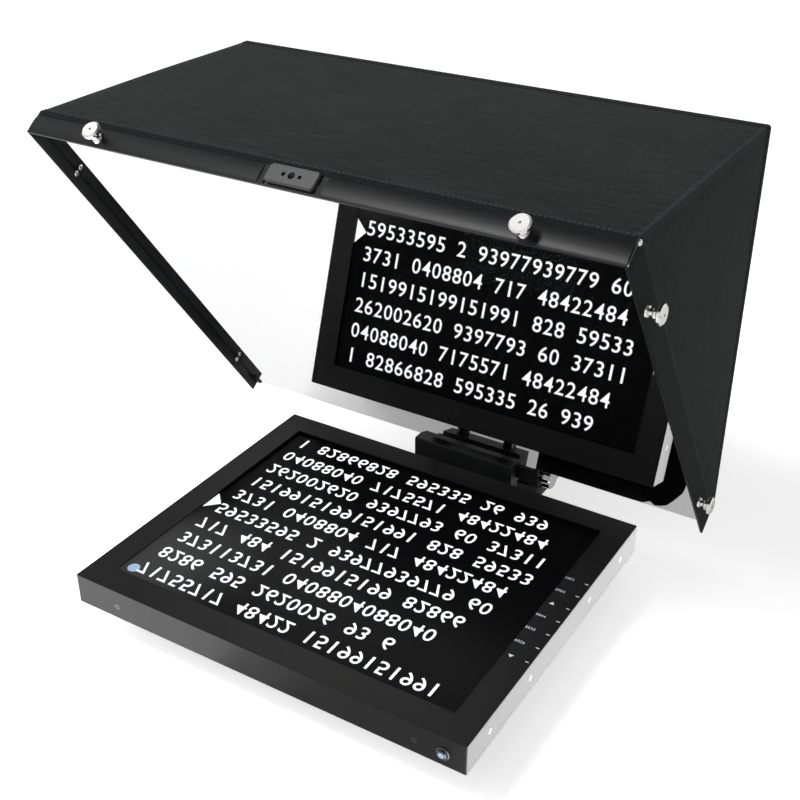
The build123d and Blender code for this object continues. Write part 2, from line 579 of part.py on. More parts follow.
def make_carriage():
    beam_rear = BEAM_FRONT_Y + BEAM_DEPTH
    beam_bottom = BEAM_TOP_Z - BEAM_HEIGHT
    half = BEAM_WIDTH / 2
    beam = block((-half, half), (BEAM_FRONT_Y, beam_rear), (beam_bottom, BEAM_TOP_Z))
    beam = chamfer(beam.edges().filter_by(Axis.X), BEAM_BEVEL)
    upright_front = BEAM_FRONT_Y + UPRIGHT_SETBACK
    upright_y = (upright_front, upright_front + UPRIGHT_THICK)
    upright = block((-CLAMP_WIDTH / 2, CLAMP_WIDTH / 2), upright_y, (CLAMP_TOP_Z, beam_bottom))
    for side in (-1, 1):
        inner = side * EAR_INNER_X
        x = sorted((inner, inner + side * EAR_THICK))
        ear = bar_x(EAR_RADIUS, x, HINGE_Y, HINGE_Z)
        ear += block(x, (HINGE_Y - EAR_RADIUS, min(HINGE_Y + EAR_RADIUS, beam_rear)), (BEAM_TOP_Z, HINGE_Z))
        beam += ear
    beam -= bar_x(HINGE_PIN_RADIUS + RUNNING, (-half, half), HINGE_Y, HINGE_Z)

    # Lug for the tilt lock screw at the beam's right end.
    lock_y, lock_z = lock_point(0)
    lug_end = LOCK_PLATE_X - SEAT_GAP
    lug_y = (lock_y - LUG_HALF, lock_y + LUG_HALF)
    beam += block((half - 1, lug_end), lug_y, (lock_z - LUG_HALF, lock_z + LUG_HALF))
    beam -= bar_x(LOCK_SCREW_RADIUS + RUNNING, (lug_end - LUG_BORE_DEPTH, lug_end + 1), lock_y, lock_z)
    save("cross_beam", beam)
    save("upright", upright)

    clamp_y = (BEAM_FRONT_Y, BEAM_FRONT_Y + CARRIAGE_CLAMP_LENGTH)
    clamp = block((-CLAMP_WIDTH / 2, CLAMP_WIDTH / 2), clamp_y, (CLAMP_BOTTOM_Z, CLAMP_TOP_Z))
    for bore in rod_bores(*clamp_y):
        clamp -= bore
    knob_y = (clamp_y[0] + clamp_y[1]) / 2
    clamp -= clamp_screw_bore(CLAMP_WIDTH / 2, knob_y)
    save("carriage_clamp", clamp)
    save("carriage_knob", side_clamp_knob(CLAMP_WIDTH / 2, knob_y))

    pin_half = ARM_INNER_X + ARM_THICK + SEAT_GAP
    pin = bar_x(HINGE_PIN_RADIUS, (-pin_half, pin_half), HINGE_Y, HINGE_Z)
    for side in (-1, 1):
        head_x = sorted((side * pin_half, side * (pin_half + HINGE_PIN_HEAD)))
        pin += bar_x(HINGE_PIN_RADIUS + HINGE_PIN_LIP, head_x, HINGE_Y, HINGE_Z)
    save("hinge_pin", pin)

    knob_x = LOCK_PLATE_X + LOCK_PLATE_THICK
    knob_place = Plane(origin=(knob_x, lock_y, lock_z), z_dir=(1, 0, 0))
    shank = LOCK_PLATE_THICK + SEAT_GAP + LUG_SHANK
    save("tilt_knob", knob_place * clamp_knob(shank, LOCK_SCREW_RADIUS))


# ---------------------------------------------------------------- glass frame
def thumb_places():
    """Name and plane of each frame screw; the plane's Z is the screw's outward direction.

    The presenter's left side has low button heads, so that nothing catches a cable there."""
    places = []
    for side, name in ((-1, "thumbscrew_top_left"), (1, "thumbscrew_top_right")):
        y, z = on_frame(0, THUMB_DEPTH)
        places.append((name, Plane(origin=(side * THUMB_TOP_X, y, z), z_dir=(0, -cos(ANGLE), sin(ANGLE)))))
    for side, hand in ((-1, "left"), (1, "right")):
        for along, level in ((THUMB_SIDE_UPPER, "upper"), (THUMB_SIDE_LOWER, "lower")):
            y, z = on_frame(along, THUMB_DEPTH)
            name = f"left_screw_{level}" if hand == "left" else f"thumbscrew_{hand}_{level}"
            places.append((name, Plane(origin=(side * HALF_WIDTH, y, z), z_dir=(side, 0, 0))))
    return places


def thumbscrew():
    """Mushroom-headed thumbscrew with a small foot, seated on the plane z = 0."""
    shank, head, top = THUMB_SHANK_RADIUS, THUMB_HEAD_RADIUS, THUMB_HEIGHT
    foot, neck, collar, dimple = 5.0, 3.0, 5.4, 1.2
    end = -SHEET - THUMB_STUB
    under = top - 1.2 - THUMB_RIM          # where the rim of the head begins
    return turned([
        (0, end), (shank - 0.6, end), (shank, end + 0.6), (shank, SEAT_GAP),
        (foot - 0.4, SEAT_GAP), (foot, SEAT_GAP + 0.6), (foot - 0.4, 2.6), (foot - 1.4, 3.2),
        (neck, 3.2), (neck, under - 5.6), (collar, under - 3.6), (collar, under - 2.0),
        (collar - 0.8, under - 1.6), (collar - 0.8, under - 1.2), (head - 1.4, under - 0.6), (head, under),
        (head, under + THUMB_RIM), (head - 1.4, top), (dimple, top), (dimple, top - 2.5), (0, top - 2.5),
    ])


def button_screw():
    """Button-headed screw with a hexagon socket, seated on the plane z = 0."""
    shank, head, top, socket = THUMB_SHANK_RADIUS, BUTTON_HEAD_RADIUS, BUTTON_HEAD_HEIGHT, BUTTON_SOCKET_RADIUS
    end = -SHEET - THUMB_STUB
    screw = turned([
        (0, end), (shank - 0.6, end), (shank, end + 0.6), (shank, SEAT_GAP), (head, SEAT_GAP),
        (head, 0.4 * top), (0.75 * head, 0.85 * top), (0.5 * head, top), (0, top),
    ])
    hexagon = Pos(0, 0, 0.4 * top) * extrude(RegularPolygon(socket, 6), amount=top)
    return screw - hexagon


def make_accessory_plate():
    """Accessory block in the top bar's opening, held from behind by its own flange."""
    plate = Box(ACCESSORY_WIDTH, ACCESSORY_HEIGHT, ACCESSORY_THICK)
    plate = fillet(plate.edges().filter_by(Axis.Z), ACCESSORY_CORNER)
    plate = chamfer(plate.faces().sort_by(Axis.Z)[-1].edges(), ACCESSORY_BEVEL)
    plate = frame_plane(0, SHEET, ACCESSORY_DEPTH) * Pos(0, 0, ACCESSORY_THICK / 2) * plate
    half = ACCESSORY_WIDTH / 2 + ACCESSORY_FLANGE_REACH
    flange_depth = (ACCESSORY_DEPTH + SMALL_THREAD_RADIUS + 0.4, FLANGE_DEPTH - 0.6)
    plate += frame_slab(-half, half, (SHEET, SHEET + ACCESSORY_FLANGE), flange_depth)
    bores = bar_z(SMALL_THREAD_RADIUS, 0, 0, (-10, 10))
    for side in (-1, 1):
        bores += bar_z(ACCESSORY_PIN_RADIUS, side * ACCESSORY_PIN_PITCH / 2, 0, (-10, 10))
    save("accessory_plate", plate - frame_plane(0, 0, ACCESSORY_DEPTH) * bores)


def make_frame():
    drill = bar_z(THUMB_SHANK_RADIUS + RUNNING, 0, 0, (-SHEET - 1, 1))
    holes = [place * drill for _, place in thumb_places()]
    top_bar = frame_slab(-HALF_WIDTH, HALF_WIDTH, (0, SHEET), (0, FLANGE_DEPTH))
    top_bar += frame_slab(-INNER_HALF, INNER_HALF, (SHEET, SHEET + LEDGE_WIDTH), (LEDGE_BACK, LEDGE_FRONT))
    for hole in holes[:2]:
        top_bar -= hole
    gap = 2 * ACCESSORY_GAP
    opening = Box(ACCESSORY_WIDTH + gap, ACCESSORY_HEIGHT + gap, 1.5 * SHEET)
    top_bar -= frame_plane(0, SHEET / 2, ACCESSORY_DEPTH) * opening
    save("top_bar", top_bar)

    for side, name, drilled in ((-1, "left_bar", holes[2:4]), (1, "right_bar", holes[4:6])):
        wall = sorted((side * INNER_HALF, side * HALF_WIDTH))
        ledge = sorted((side * (INNER_HALF - LEDGE_WIDTH), side * INNER_HALF))
        side_bar = frame_slab(*wall, (SHEET, FRAME_LENGTH), (0, FLANGE_DEPTH))
        ledge_along = (SHEET + LEDGE_WIDTH + CROSSBAR_PLAY, CROSSBAR_TOP - CROSSBAR_PLAY)
        side_bar += frame_slab(*ledge, ledge_along, (LEDGE_BACK, LEDGE_FRONT))
        for hole in drilled:
            side_bar -= hole
        save(name, side_bar)

    crossbar_along = (CROSSBAR_TOP, CROSSBAR_END)
    crossbar = frame_slab(-INNER_HALF, INNER_HALF, crossbar_along, (CROSSBAR_BACK, CROSSBAR_FRONT))
    save("crossbar", crossbar)

    glass_top = SHEET + GLASS_EDGE_GAP
    glass = frame_slab(-GLASS_HALF, GLASS_HALF, (glass_top, CROSSBAR_END), (GLASS_BACK, GLASS_FRONT))
    save("beam_splitter_glass", glass)

    seat = (LEDGE_FRONT, GLASS_BACK)
    gasket = frame_slab(-GLASS_HALF, GLASS_HALF, (glass_top, SHEET + LEDGE_WIDTH), seat)
    for side in (-1, 1):
        x = sorted((side * (INNER_HALF - LEDGE_WIDTH), side * GLASS_HALF))
        gasket += frame_slab(*x, (SHEET + LEDGE_WIDTH, CROSSBAR_TOP - CROSSBAR_PLAY), seat)
    save("glass_gasket", gasket)

    clips = []
    for side in (-1, 1):
        x = sorted((side * (INNER_HALF - CLIP_WIDTH), side * INNER_HALF))
        end = CROSSBAR_END
        hook = frame_slab(*x, (end, FRAME_LENGTH), (CROSSBAR_BACK, GLASS_FRONT + CLIP_THICK))
        hook += frame_slab(*x, (end - CLIP_REACH, end), (GLASS_FRONT, GLASS_FRONT + CLIP_THICK))
        clips.append(hook)
    save("glass_clips", clips)

    make_accessory_plate()

    rivets = []
    for side in (-1, 1):
        y, z = on_frame(RIVET_ALONG, FLANGE_DEPTH - RIVET_FROM_FRONT)
        place = Plane(origin=(side * HALF_WIDTH, y, z), z_dir=(side, 0, 0))
        rivets.append(place * turned([(0, 0), (RIVET_RADIUS, 0), (0.8 * RIVET_RADIUS, 0.8), (0, 1.15)]))
    save("frame_rivets", rivets)
    for name, place in thumb_places():
        save(name, place * (thumbscrew() if name.startswith("thumb") else button_screw()))


def make_hinge_arms():
    """Plates from the crossbar to the hinge pin, and the tilt lock plate."""
    high = on_frame(CROSSBAR_TOP, CROSSBAR_BACK)
    low = on_frame(CROSSBAR_END, CROSSBAR_BACK)
    arms = []
    for side in (-1, 1):
        x = sorted((side * ARM_INNER_X, side * (ARM_INNER_X + ARM_THICK)))
        hub = bar_x(EAR_RADIUS, x, HINGE_Y, HINGE_Z)
        web = slab_x([high, (HINGE_Y + 3.0, HINGE_Z + EAR_RADIUS - 0.6), (HINGE_Y, HINGE_Z - 6.0), low], *x)
        arm = hub + web
        arm -= bar_x(HINGE_PIN_RADIUS + RUNNING, (x[0] - 1, x[1] + 1), HINGE_Y, HINGE_Z)
        arms.append(arm)
    save("hinge_arms", arms)

    x = (LOCK_PLATE_X, LOCK_PLATE_X + LOCK_PLATE_THICK)
    foot_y, foot_z = lock_point(0)
    reach = LUG_HALF + LOCK_RADIUS * sin(radians(max(TILT_BACK, TILT_FORWARD)))
    edge = LUG_HALF - 1.0
    outline = [
        high, (high[0] + 14.0, high[1] + 4.0), (HINGE_Y - 8.0, HINGE_Z - 6.0),
        (foot_y + reach, foot_z + edge), (foot_y + reach, foot_z - edge), (foot_y - reach, foot_z - edge),
        (foot_y - reach - 4.0, foot_z + edge - 1.0), low,
    ]
    plate = slab_x(outline, *x)
    slot_start = -TILT_BACK - 1.0
    slot_end = TILT_FORWARD + 1.0
    width = LOCK_SCREW_RADIUS + RUNNING
    through = (x[0] - 1, x[1] + 1)
    ring = bar_x(LOCK_RADIUS + width, through, HINGE_Y, HINGE_Z)
    ring -= bar_x(LOCK_RADIUS - width, through, HINGE_Y, HINGE_Z)
    reach_points = [lock_point(turn, 2 * LOCK_RADIUS) for turn in (slot_start, 0, slot_end)]
    plate -= ring & slab_x([(HINGE_Y, HINGE_Z)] + reach_points, *through)
    for turn in (slot_start, slot_end):
        plate -= bar_x(width, through, *lock_point(turn))
    save("tilt_lock_plate", plate)


# ---------------------------------------------------------------- hood panels
def plane_height(y):
    """Height of the frame's rear edge above a point y."""
    return CROWN_Z - (y - CROWN_Y) * tan(ANGLE)


def make_hood():
    lid = CROWN_Z - PANEL
    rear_in = HOOD_REAR_Y - PANEL
    top = slab_x(
        [(CROWN_Y, CROWN_Z), (HOOD_REAR_Y, CROWN_Z), (HOOD_REAR_Y, lid), (CROWN_Y + PANEL / tan(ANGLE), lid)],
        -HALF_WIDTH, HALF_WIDTH,
    )
    save("hood_top_panel", top)

    corner_z = max(plane_height(HOOD_REAR_Y), FOOT_Z + 0.6)
    outline = [(CROWN_Y + PANEL / tan(ANGLE), lid), (HOOD_REAR_Y, lid), (HOOD_REAR_Y, corner_z)]
    if plane_height(HOOD_REAR_Y) < corner_z:
        outline.append((FOOT_Y, FOOT_Z))
    for side, name in ((-1, "hood_left_panel"), (1, "hood_right_panel")):
        x = sorted((side * (HALF_WIDTH - PANEL), side * HALF_WIDTH))
        save(name, slab_x(outline, *x))

    inner = HALF_WIDTH - PANEL
    bottom = max(plane_height(rear_in), FOOT_Z + 0.6)
    rear = block((-inner, inner), (rear_in, HOOD_REAR_Y), (bottom, lid))
    notch_half = ARM_INNER_X + ARM_THICK + REAR_NOTCH_MARGIN
    rear -= block(
        (-notch_half, notch_half), (rear_in - 1, HOOD_REAR_Y + 1),
        (bottom - 1, bottom + REAR_NOTCH_HEIGHT),
    )
    # Bay for the tilt lock plate, which swings with the hood but reaches past the panel's lower edge.
    rear -= block(
        (LOCK_PLATE_X - LOCK_BAY_MARGIN, LOCK_PLATE_X + LOCK_PLATE_THICK + LOCK_BAY_MARGIN),
        (rear_in - 1, HOOD_REAR_Y + 1),
        (bottom - 1, bottom + REAR_NOTCH_HEIGHT),
    )
    half_opening = LENS_OPENING_WIDTH / 2
    opening_z = (LENS_AXIS_Z - LENS_OPENING_HEIGHT / 2, LENS_AXIS_Z + LENS_OPENING_HEIGHT / 2)
    rear -= block((-half_opening, half_opening), (rear_in - 1, HOOD_REAR_Y + 1), opening_z)
    save("hood_rear_panel", rear)
    save("lens_sleeve", sleeve_solid(SLEEVE_WALL) - sleeve_solid(0))


def sleeve_solid(wall):
    """The sleeve's inside, or its outside where wall is its thickness."""
    end_y = HOOD_REAR_Y + SLEEVE_LENGTH
    near = Plane(origin=(0, HOOD_REAR_Y, LENS_AXIS_Z), x_dir=(1, 0, 0), z_dir=(0, 1, 0))
    far = Plane(origin=(0, end_y, LENS_AXIS_Z - SLEEVE_SAG), x_dir=(1, 0, 0), z_dir=(0, 1, 0))
    corner = SLEEVE_CORNER + wall
    return loft([
        near * RectangleRounded(LENS_OPENING_WIDTH + 2 * wall, LENS_OPENING_HEIGHT + 2 * wall, corner),
        far * RectangleRounded(SLEEVE_END_WIDTH + 2 * wall, SLEEVE_END_HEIGHT + 2 * wall, corner),
    ])


# ---------------------------------------------------------------- monitor
def monitor_screw_places():
    half = MONITOR_WIDTH / 2
    places = []
    for side in (-1, 1):
        for y in SIDE_SCREW_Y:
            places.append(Plane(
                origin=(side * half, MONITOR_Y + y, MONITOR_TOP_Z + SIDE_SCREW_Z), z_dir=(side, 0, 0)
            ))
        for end_y, way in ((MONITOR_FRONT_Y, -1), (MONITOR_REAR_Y, 1)):
            places.append(Plane(
                origin=(side * END_SCREW_X, end_y, MONITOR_TOP_Z + END_SCREW_Z), z_dir=(0, way, 0)
            ))
    return places


def key_places():
    first = MONITOR_Y - KEY_PITCH * (KEY_COUNT - 1) / 2
    return [(KEY_X, first + KEY_PITCH * step) for step in range(KEY_COUNT)]


def make_monitor_shell():
    """Folded housing with the window, and the cover that closes it from below."""
    half = MONITOR_WIDTH / 2
    wall = MONITOR_WALL
    y = (MONITOR_FRONT_Y, MONITOR_REAR_Y)
    housing = block((-half, half), y, (MONITOR_BOTTOM_Z, MONITOR_TOP_Z))
    housing = fillet(housing.edges().filter_by(Axis.Z), MONITOR_CORNER)
    housing = chamfer(housing.faces().sort_by(Axis.Z)[-1].edges(), 0.5)
    housing -= block(
        (-half + wall, half - wall), (y[0] + wall, y[1] - wall), (MONITOR_BOTTOM_Z - 1, MONITOR_TOP_Z - wall)
    )
    housing -= block(
        (-WINDOW_HALF_X, WINDOW_HALF_X), (MONITOR_Y - WINDOW_HALF_Y, MONITOR_Y + WINDOW_HALF_Y),
        (MONITOR_TOP_Z - 2 * wall, MONITOR_TOP_Z + 1),
    )
    through = (MONITOR_BOTTOM_Z - 1, MONITOR_BOTTOM_Z + wall + 1)
    inset = wall + 0.1
    cover_z = (MONITOR_BOTTOM_Z, MONITOR_BOTTOM_Z + wall)
    cover = block((-half + inset, half - inset), (y[0] + inset, y[1] - inset), cover_z)
    for place in monitor_screw_places():
        cover += screw_tab(place)
    for place in monitor_screw_places():
        hole = flat_screw_hole(place)
        housing -= hole
        cover -= hole
    housing -= power_place() * bar_z(POWER_RING_RADIUS - 1.0 + 0.1, 0, 0, (-5, 5))
    for x, key_y in key_places():
        cover -= bar_z(KEY_HOLE_RADIUS, x, key_y, through)
    vent = extrude(SlotOverall(VENT_LENGTH, VENT_WIDTH), wall + 2)
    for row in range(VENT_ROWS):
        for side in (-1, 1):
            cover -= Pos(side * VENT_X, MONITOR_Y + VENT_FIRST_Y + VENT_PITCH * row, through[0]) * vent
    for x, hole_y in vesa_places():
        cover -= bar_z(VESA_SCREW_RADIUS + FREE, x, hole_y, through)
    for inlet in inlet_boxes(INLET_PLAY):
        cover -= inlet
    save("monitor_housing", housing)
    save("monitor_back_cover", cover)
    save("monitor_screws", [flat_screw(place) for place in monitor_screw_places()])


def screw_tab(place):
    """Tab of the cover that stands up behind one housing screw."""
    middle = place * Pos(0, 0, -MONITOR_WALL - 0.1 - SCREW_TAB_WALL / 2)
    across_x = SCREW_TAB_HALF if abs(place.z_dir.Y) > 0.5 else SCREW_TAB_WALL / 2
    across_y = SCREW_TAB_HALF if abs(place.z_dir.X) > 0.5 else SCREW_TAB_WALL / 2
    x, y = middle.position.X, middle.position.Y
    return block(
        (x - across_x, x + across_x), (y - across_y, y + across_y),
        (MONITOR_BOTTOM_Z, MONITOR_BOTTOM_Z + SCREW_TAB_HEIGHT),
    )


def power_place():
    """Plane of the power button, on the monitor's front wall."""
    return Plane(origin=(POWER_X, MONITOR_FRONT_Y, MONITOR_TOP_Z + POWER_Z), z_dir=(0, -1, 0))


def vesa_places():
    half = VESA_PITCH / 2
    return [(dx * half, MONITOR_Y + dy * half) for dx in (-1, 1) for dy in (-1, 1)]


def inlet_boxes(grow=0.0):
    """One body per socket: video round, VGA, HDMI, DC jack."""
    boxes = []
    for x, width, depth in INLET_SIZES:
        boxes.append(block(
            (x - width / 2 - grow, x + width / 2 + grow),
            (MONITOR_Y + INLET_Y - depth / 2 - grow, MONITOR_Y + INLET_Y + depth / 2 + grow),
            (MONITOR_BOTTOM_Z - grow, MONITOR_BOTTOM_Z + INLET_HEIGHT + grow),
        ))
    return boxes


def make_inlets():
    """Round video socket, 15-pin video socket, digital video socket and power jack."""
    y = MONITOR_Y + INLET_Y
    bottom = MONITOR_BOTTOM_Z
    inside = bottom + INLET_HEIGHT - INLET_FLOOR
    video, vga, hdmi, jack = inlet_boxes()
    video_x, vga_x, hdmi_x, jack_x = [size[0] for size in INLET_SIZES]
    video += bar_z(BNC_RADIUS, video_x, y, (bottom - BNC_LENGTH, bottom))
    video += bar_x(1.0, (video_x - BNC_RADIUS - 1.2, video_x + BNC_RADIUS + 1.2), y, bottom - 3.5)
    video -= bar_z(BNC_RADIUS / 4, video_x, y, (bottom - BNC_LENGTH - 1, bottom - 2.0))
    shell = block((vga_x - 8.2, vga_x + 8.2), (y - 4.0, y + 4.0), (bottom - VGA_LENGTH, bottom))
    vga += fillet(shell.edges().filter_by(Axis.Z), 2.0)
    for side in (-1, 1):
        vga += bar_z(2.6, vga_x + side * VGA_NUT_X, y, (bottom - 4.0, bottom))
    hdmi -= block((hdmi_x - 7.0, hdmi_x + 7.0), (y - 2.3, y + 2.3), (bottom - 1, inside))
    hdmi += block((hdmi_x - 5.5, hdmi_x + 5.5), (y - 0.5, y + 0.5), (bottom + 0.5, inside))
    jack -= bar_z(JACK_RADIUS, jack_x, y, (bottom - 1, inside))
    jack += bar_z(JACK_PIN_RADIUS, jack_x, y, (bottom + 0.5, inside))
    save("inlets", [video, vga, hdmi, jack])


def make_monitor_inside():
    """Display panel, its backlight and the boards under it."""
    top = MONITOR_TOP_Z - WINDOW_RECESS
    half_x = WINDOW_HALF_X + LCD_OVERLAP
    half_y = WINDOW_HALF_Y + LCD_OVERLAP
    lcd = block((-half_x, half_x), (MONITOR_Y - half_y, MONITOR_Y + half_y), (top - LCD_THICK, top))
    save("lcd_panel", lcd)
    light_top = top - LCD_THICK
    half_x += BACKLIGHT_MARGIN
    half_y += BACKLIGHT_MARGIN
    light_z = (light_top - BACKLIGHT_THICK, light_top)
    save("backlight_unit", block((-half_x, half_x), (MONITOR_Y - half_y, MONITOR_Y + half_y), light_z))

    board_top = light_z[0] - BOARD_STANDOFF
    board_z = (board_top - BOARD_THICK, board_top)
    controller = board(CONTROLLER_X, CONTROLLER_Y, board_z)
    for x, size, tall in CONTROLLER_CHIPS:
        middle_y = MONITOR_Y + sum(CONTROLLER_Y) / 2
        span_y = (middle_y - size / 2, middle_y + size / 2)
        controller += block((x - size / 2, x + size / 2), span_y, (board_z[0] - tall, board_z[0]))
    save("controller_board", controller)
    right = KEY_X - POWER_BOARD_FROM_KEYS
    power = board((right - POWER_BOARD_WIDTH, right), POWER_BOARD_Y, board_z)
    for x, y, radius in POWER_BOARD_CANS:
        power += bar_z(radius, right + x, MONITOR_Y + y, (board_z[0] - POWER_CAN_HEIGHT, board_z[0]))
    save("power_board", power)

    switch_z = MONITOR_BOTTOM_Z + MONITOR_WALL + SEAT_GAP + KEY_LIP_THICK + KEY_STEM + KEY_TRAVEL
    low = switch_z + SWITCH_HEIGHT
    first, last = key_places()[0][1], key_places()[-1][1]
    keys = block(
        (KEY_X - 2 * SWITCH_HALF, KEY_X + 2 * SWITCH_HALF), (first - 8, last + 8), (low, low + BOARD_THICK)
    )
    for x, y in key_places():
        keys += block((x - SWITCH_HALF, x + SWITCH_HALF), (y - SWITCH_HALF, y + SWITCH_HALF), (switch_z, low))
    save("key_board", keys)


def board(x, y, z):
    """Circuit board; y is measured from the monitor's centre."""
    return block(x, (MONITOR_Y + y[0], MONITOR_Y + y[1]), z)


def make_controls():
    """Menu keys in the back cover, and the power button in its ring."""
    lip = MONITOR_WALL + SEAT_GAP
    lip_top = lip + KEY_LIP_THICK
    key = turned([
        (0, -KEY_PROUD), (KEY_RADIUS - 0.5, -KEY_PROUD), (KEY_RADIUS, -KEY_PROUD + 0.5), (KEY_RADIUS, lip),
        (KEY_RADIUS + KEY_LIP, lip), (KEY_RADIUS + KEY_LIP, lip_top), (KEY_STEM_RADIUS, lip_top),
        (KEY_STEM_RADIUS, lip_top + KEY_STEM), (0, lip_top + KEY_STEM),
    ])
    for number, (x, y) in enumerate(reversed(key_places()), start=1):
        save(f"menu_key_{number}", Pos(x, y, MONITOR_BOTTOM_Z) * key)

    inner, sleeve, outer = POWER_CAP_RADIUS + FREE, POWER_RING_RADIUS - 1.0, POWER_RING_RADIUS
    front = POWER_RING_PROUD
    ring = turned([
        (inner, -8.0), (sleeve, -8.0), (sleeve, 0), (outer, 0), (outer, front - 0.7), (outer - 0.7, front),
        (inner, front),
    ])
    save("power_ring", power_place() * ring)
    edge, face = POWER_CAP_RADIUS, POWER_CAP_PROUD
    lit_radius, lit_depth = 2.7, 0.3
    cap = turned([
        (0, -6.0), (edge, -6.0), (edge, face - 0.8), (edge - 0.8, face), (lit_radius + 0.2, face),
        (lit_radius, face - lit_depth), (0, face - lit_depth),
    ])
    save("power_button", power_place() * cap)


def make_monitor_mounting():
    """Plate on the monitor's back, and the saddle that clamps it to the rods."""
    top, bottom = MONITOR_BOTTOM_Z, VESA_PLATE_BOTTOM_Z
    front = MONITOR_Y - VESA_PITCH / 2 - VESA_MARGIN
    plate = block((-VESA_PLATE_WIDTH / 2, VESA_PLATE_WIDTH / 2), (front, SADDLE_REAR_Y), (bottom, top))
    plate = fillet(plate.edges().filter_by(Axis.Z), PLATE_CORNER)
    screw_length = VESA_PLATE_THICK + VESA_SCREW_GRIP
    screw = cap_screw(VESA_SCREW_RADIUS, screw_length, VESA_HEAD_RADIUS, VESA_HEAD_HEIGHT)
    screws = []
    for x, y in vesa_places():
        screws.append(Plane(origin=(x, y, bottom), x_dir=(1, 0, 0), z_dir=(0, 0, -1)) * screw)
        plate -= bar_z(VESA_SCREW_RADIUS + FREE, x, y, (bottom - 1, top + 1))
    save("vesa_plate", plate)
    save("vesa_screws", screws)
    saddle_y = (SADDLE_FRONT_Y, SADDLE_REAR_Y)
    saddle = block((-SADDLE_WIDTH / 2, SADDLE_WIDTH / 2), saddle_y, (CLAMP_BOTTOM_Z, bottom))
    for bore in rod_bores(*saddle_y):
        saddle -= bore
    knob_y = (SADDLE_FRONT_Y + SADDLE_REAR_Y) / 2
    saddle -= clamp_screw_bore(SADDLE_WIDTH / 2, knob_y)
    save("monitor_saddle", saddle)
    save("saddle_knob", side_clamp_knob(SADDLE_WIDTH / 2, knob_y))


make_riser(make_base())
make_camera_plate()
make_carriage()
make_frame()
make_hinge_arms()
make_hood()
make_monitor_shell()
make_inlets()
make_monitor_inside()
make_controls()
make_monitor_mounting()
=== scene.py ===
import json
from math import atan2, cos, pi, radians, sin, tau

import bpy
from mathutils import Matrix, Vector, noise


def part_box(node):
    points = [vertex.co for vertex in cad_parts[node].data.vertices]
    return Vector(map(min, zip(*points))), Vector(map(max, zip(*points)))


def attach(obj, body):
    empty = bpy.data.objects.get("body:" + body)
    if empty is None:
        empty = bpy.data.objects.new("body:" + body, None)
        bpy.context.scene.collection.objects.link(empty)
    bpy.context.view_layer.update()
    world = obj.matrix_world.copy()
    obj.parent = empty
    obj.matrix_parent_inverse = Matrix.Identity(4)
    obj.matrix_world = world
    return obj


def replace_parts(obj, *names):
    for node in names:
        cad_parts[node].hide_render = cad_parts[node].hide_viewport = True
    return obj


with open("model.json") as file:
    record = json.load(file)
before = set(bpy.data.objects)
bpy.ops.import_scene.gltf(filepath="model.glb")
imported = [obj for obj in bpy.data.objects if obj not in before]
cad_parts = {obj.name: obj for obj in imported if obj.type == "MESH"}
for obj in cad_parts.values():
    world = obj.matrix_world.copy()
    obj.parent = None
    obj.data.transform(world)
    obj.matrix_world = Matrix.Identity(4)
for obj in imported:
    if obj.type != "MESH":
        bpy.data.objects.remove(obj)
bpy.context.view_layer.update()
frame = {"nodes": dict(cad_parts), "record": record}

MM = 0.001
NODES = frame["nodes"]

# ---------------------------------------------------------------- measures from the frame
TOP_LOW, TOP_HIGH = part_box("hood_top_panel")
SIDE_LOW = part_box("hood_right_panel")[0]
BAR_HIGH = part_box("left_bar")[1]
REAR_LOW, REAR_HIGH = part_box("hood_rear_panel")
SLEEVE_LOW, SLEEVE_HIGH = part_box("lens_sleeve")
LCD_LOW, LCD_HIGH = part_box("lcd_panel")
CASE_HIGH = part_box("monitor_housing")[1]

HALF_WIDTH = TOP_HIGH.x
CROWN = Vector((0, TOP_LOW.y, TOP_HIGH.z))          # rear upper edge of the frame
FOOT = Vector((0, BAR_HIGH.y, SIDE_LOW.z))          # lower end of the frame's rear edge
HOOD_REAR = TOP_HIGH.y
ALONG = (FOOT - CROWN).normalized()                 # down the frame
DEPTH = Vector((0, ALONG.z, -ALONG.y))              # out of the frame, towards the presenter
FASCIA = -ALONG                                     # the way the top bar faces
CREASE = 2.6 * MM                                   # radius of the crease between the hood's top and side
DISPLAY_Z = LCD_HIGH.z
CASE_TOP = CASE_HIGH.z


# ---------------------------------------------------------------- nodes and colours
def srgb(text):
    """A hex colour as the linear values that shaders read."""
    values = [int(text[i:i + 2], 16) / 255 for i in (1, 3, 5)]
    return (*[v / 12.92 if v <= 0.04045 else ((v + 0.055) / 1.055) ** 2.4 for v in values], 1.0)


def add(tree, kind, wires):
    """Add a shader node. Each wire is a setting, a socket's value, or a node or output that feeds it."""
    made = tree.nodes.new("ShaderNode" + kind)
    for name, value in wires.items():
        if name == "stops":
            while len(made.color_ramp.elements) < len(value):
                made.color_ramp.elements.new(1.0)
            for element, (place, colour) in zip(made.color_ramp.elements, value):
                element.position, element.color = place, colour
        elif isinstance(name, str) and hasattr(made, name):
            setattr(made, name, value)
        elif isinstance(value, bpy.types.Node):
            tree.links.new(value.outputs[0], made.inputs[name])
        elif isinstance(value, bpy.types.NodeSocket):
            tree.links.new(value, made.inputs[name])
        else:
            made.inputs[name].default_value = value
    return made


def start(name):
    """A new material with an empty node tree, and its object coordinates."""
    made = bpy.data.materials.new(name)
    made.use_nodes = True
    made.node_tree.nodes.clear()
    return made, made.node_tree, add(made.node_tree, "TexCoord", {}).outputs["Object"]


def per_metre(millimetres):
    """A texture's scale for a feature of this size."""
    return 1000.0 / millimetres


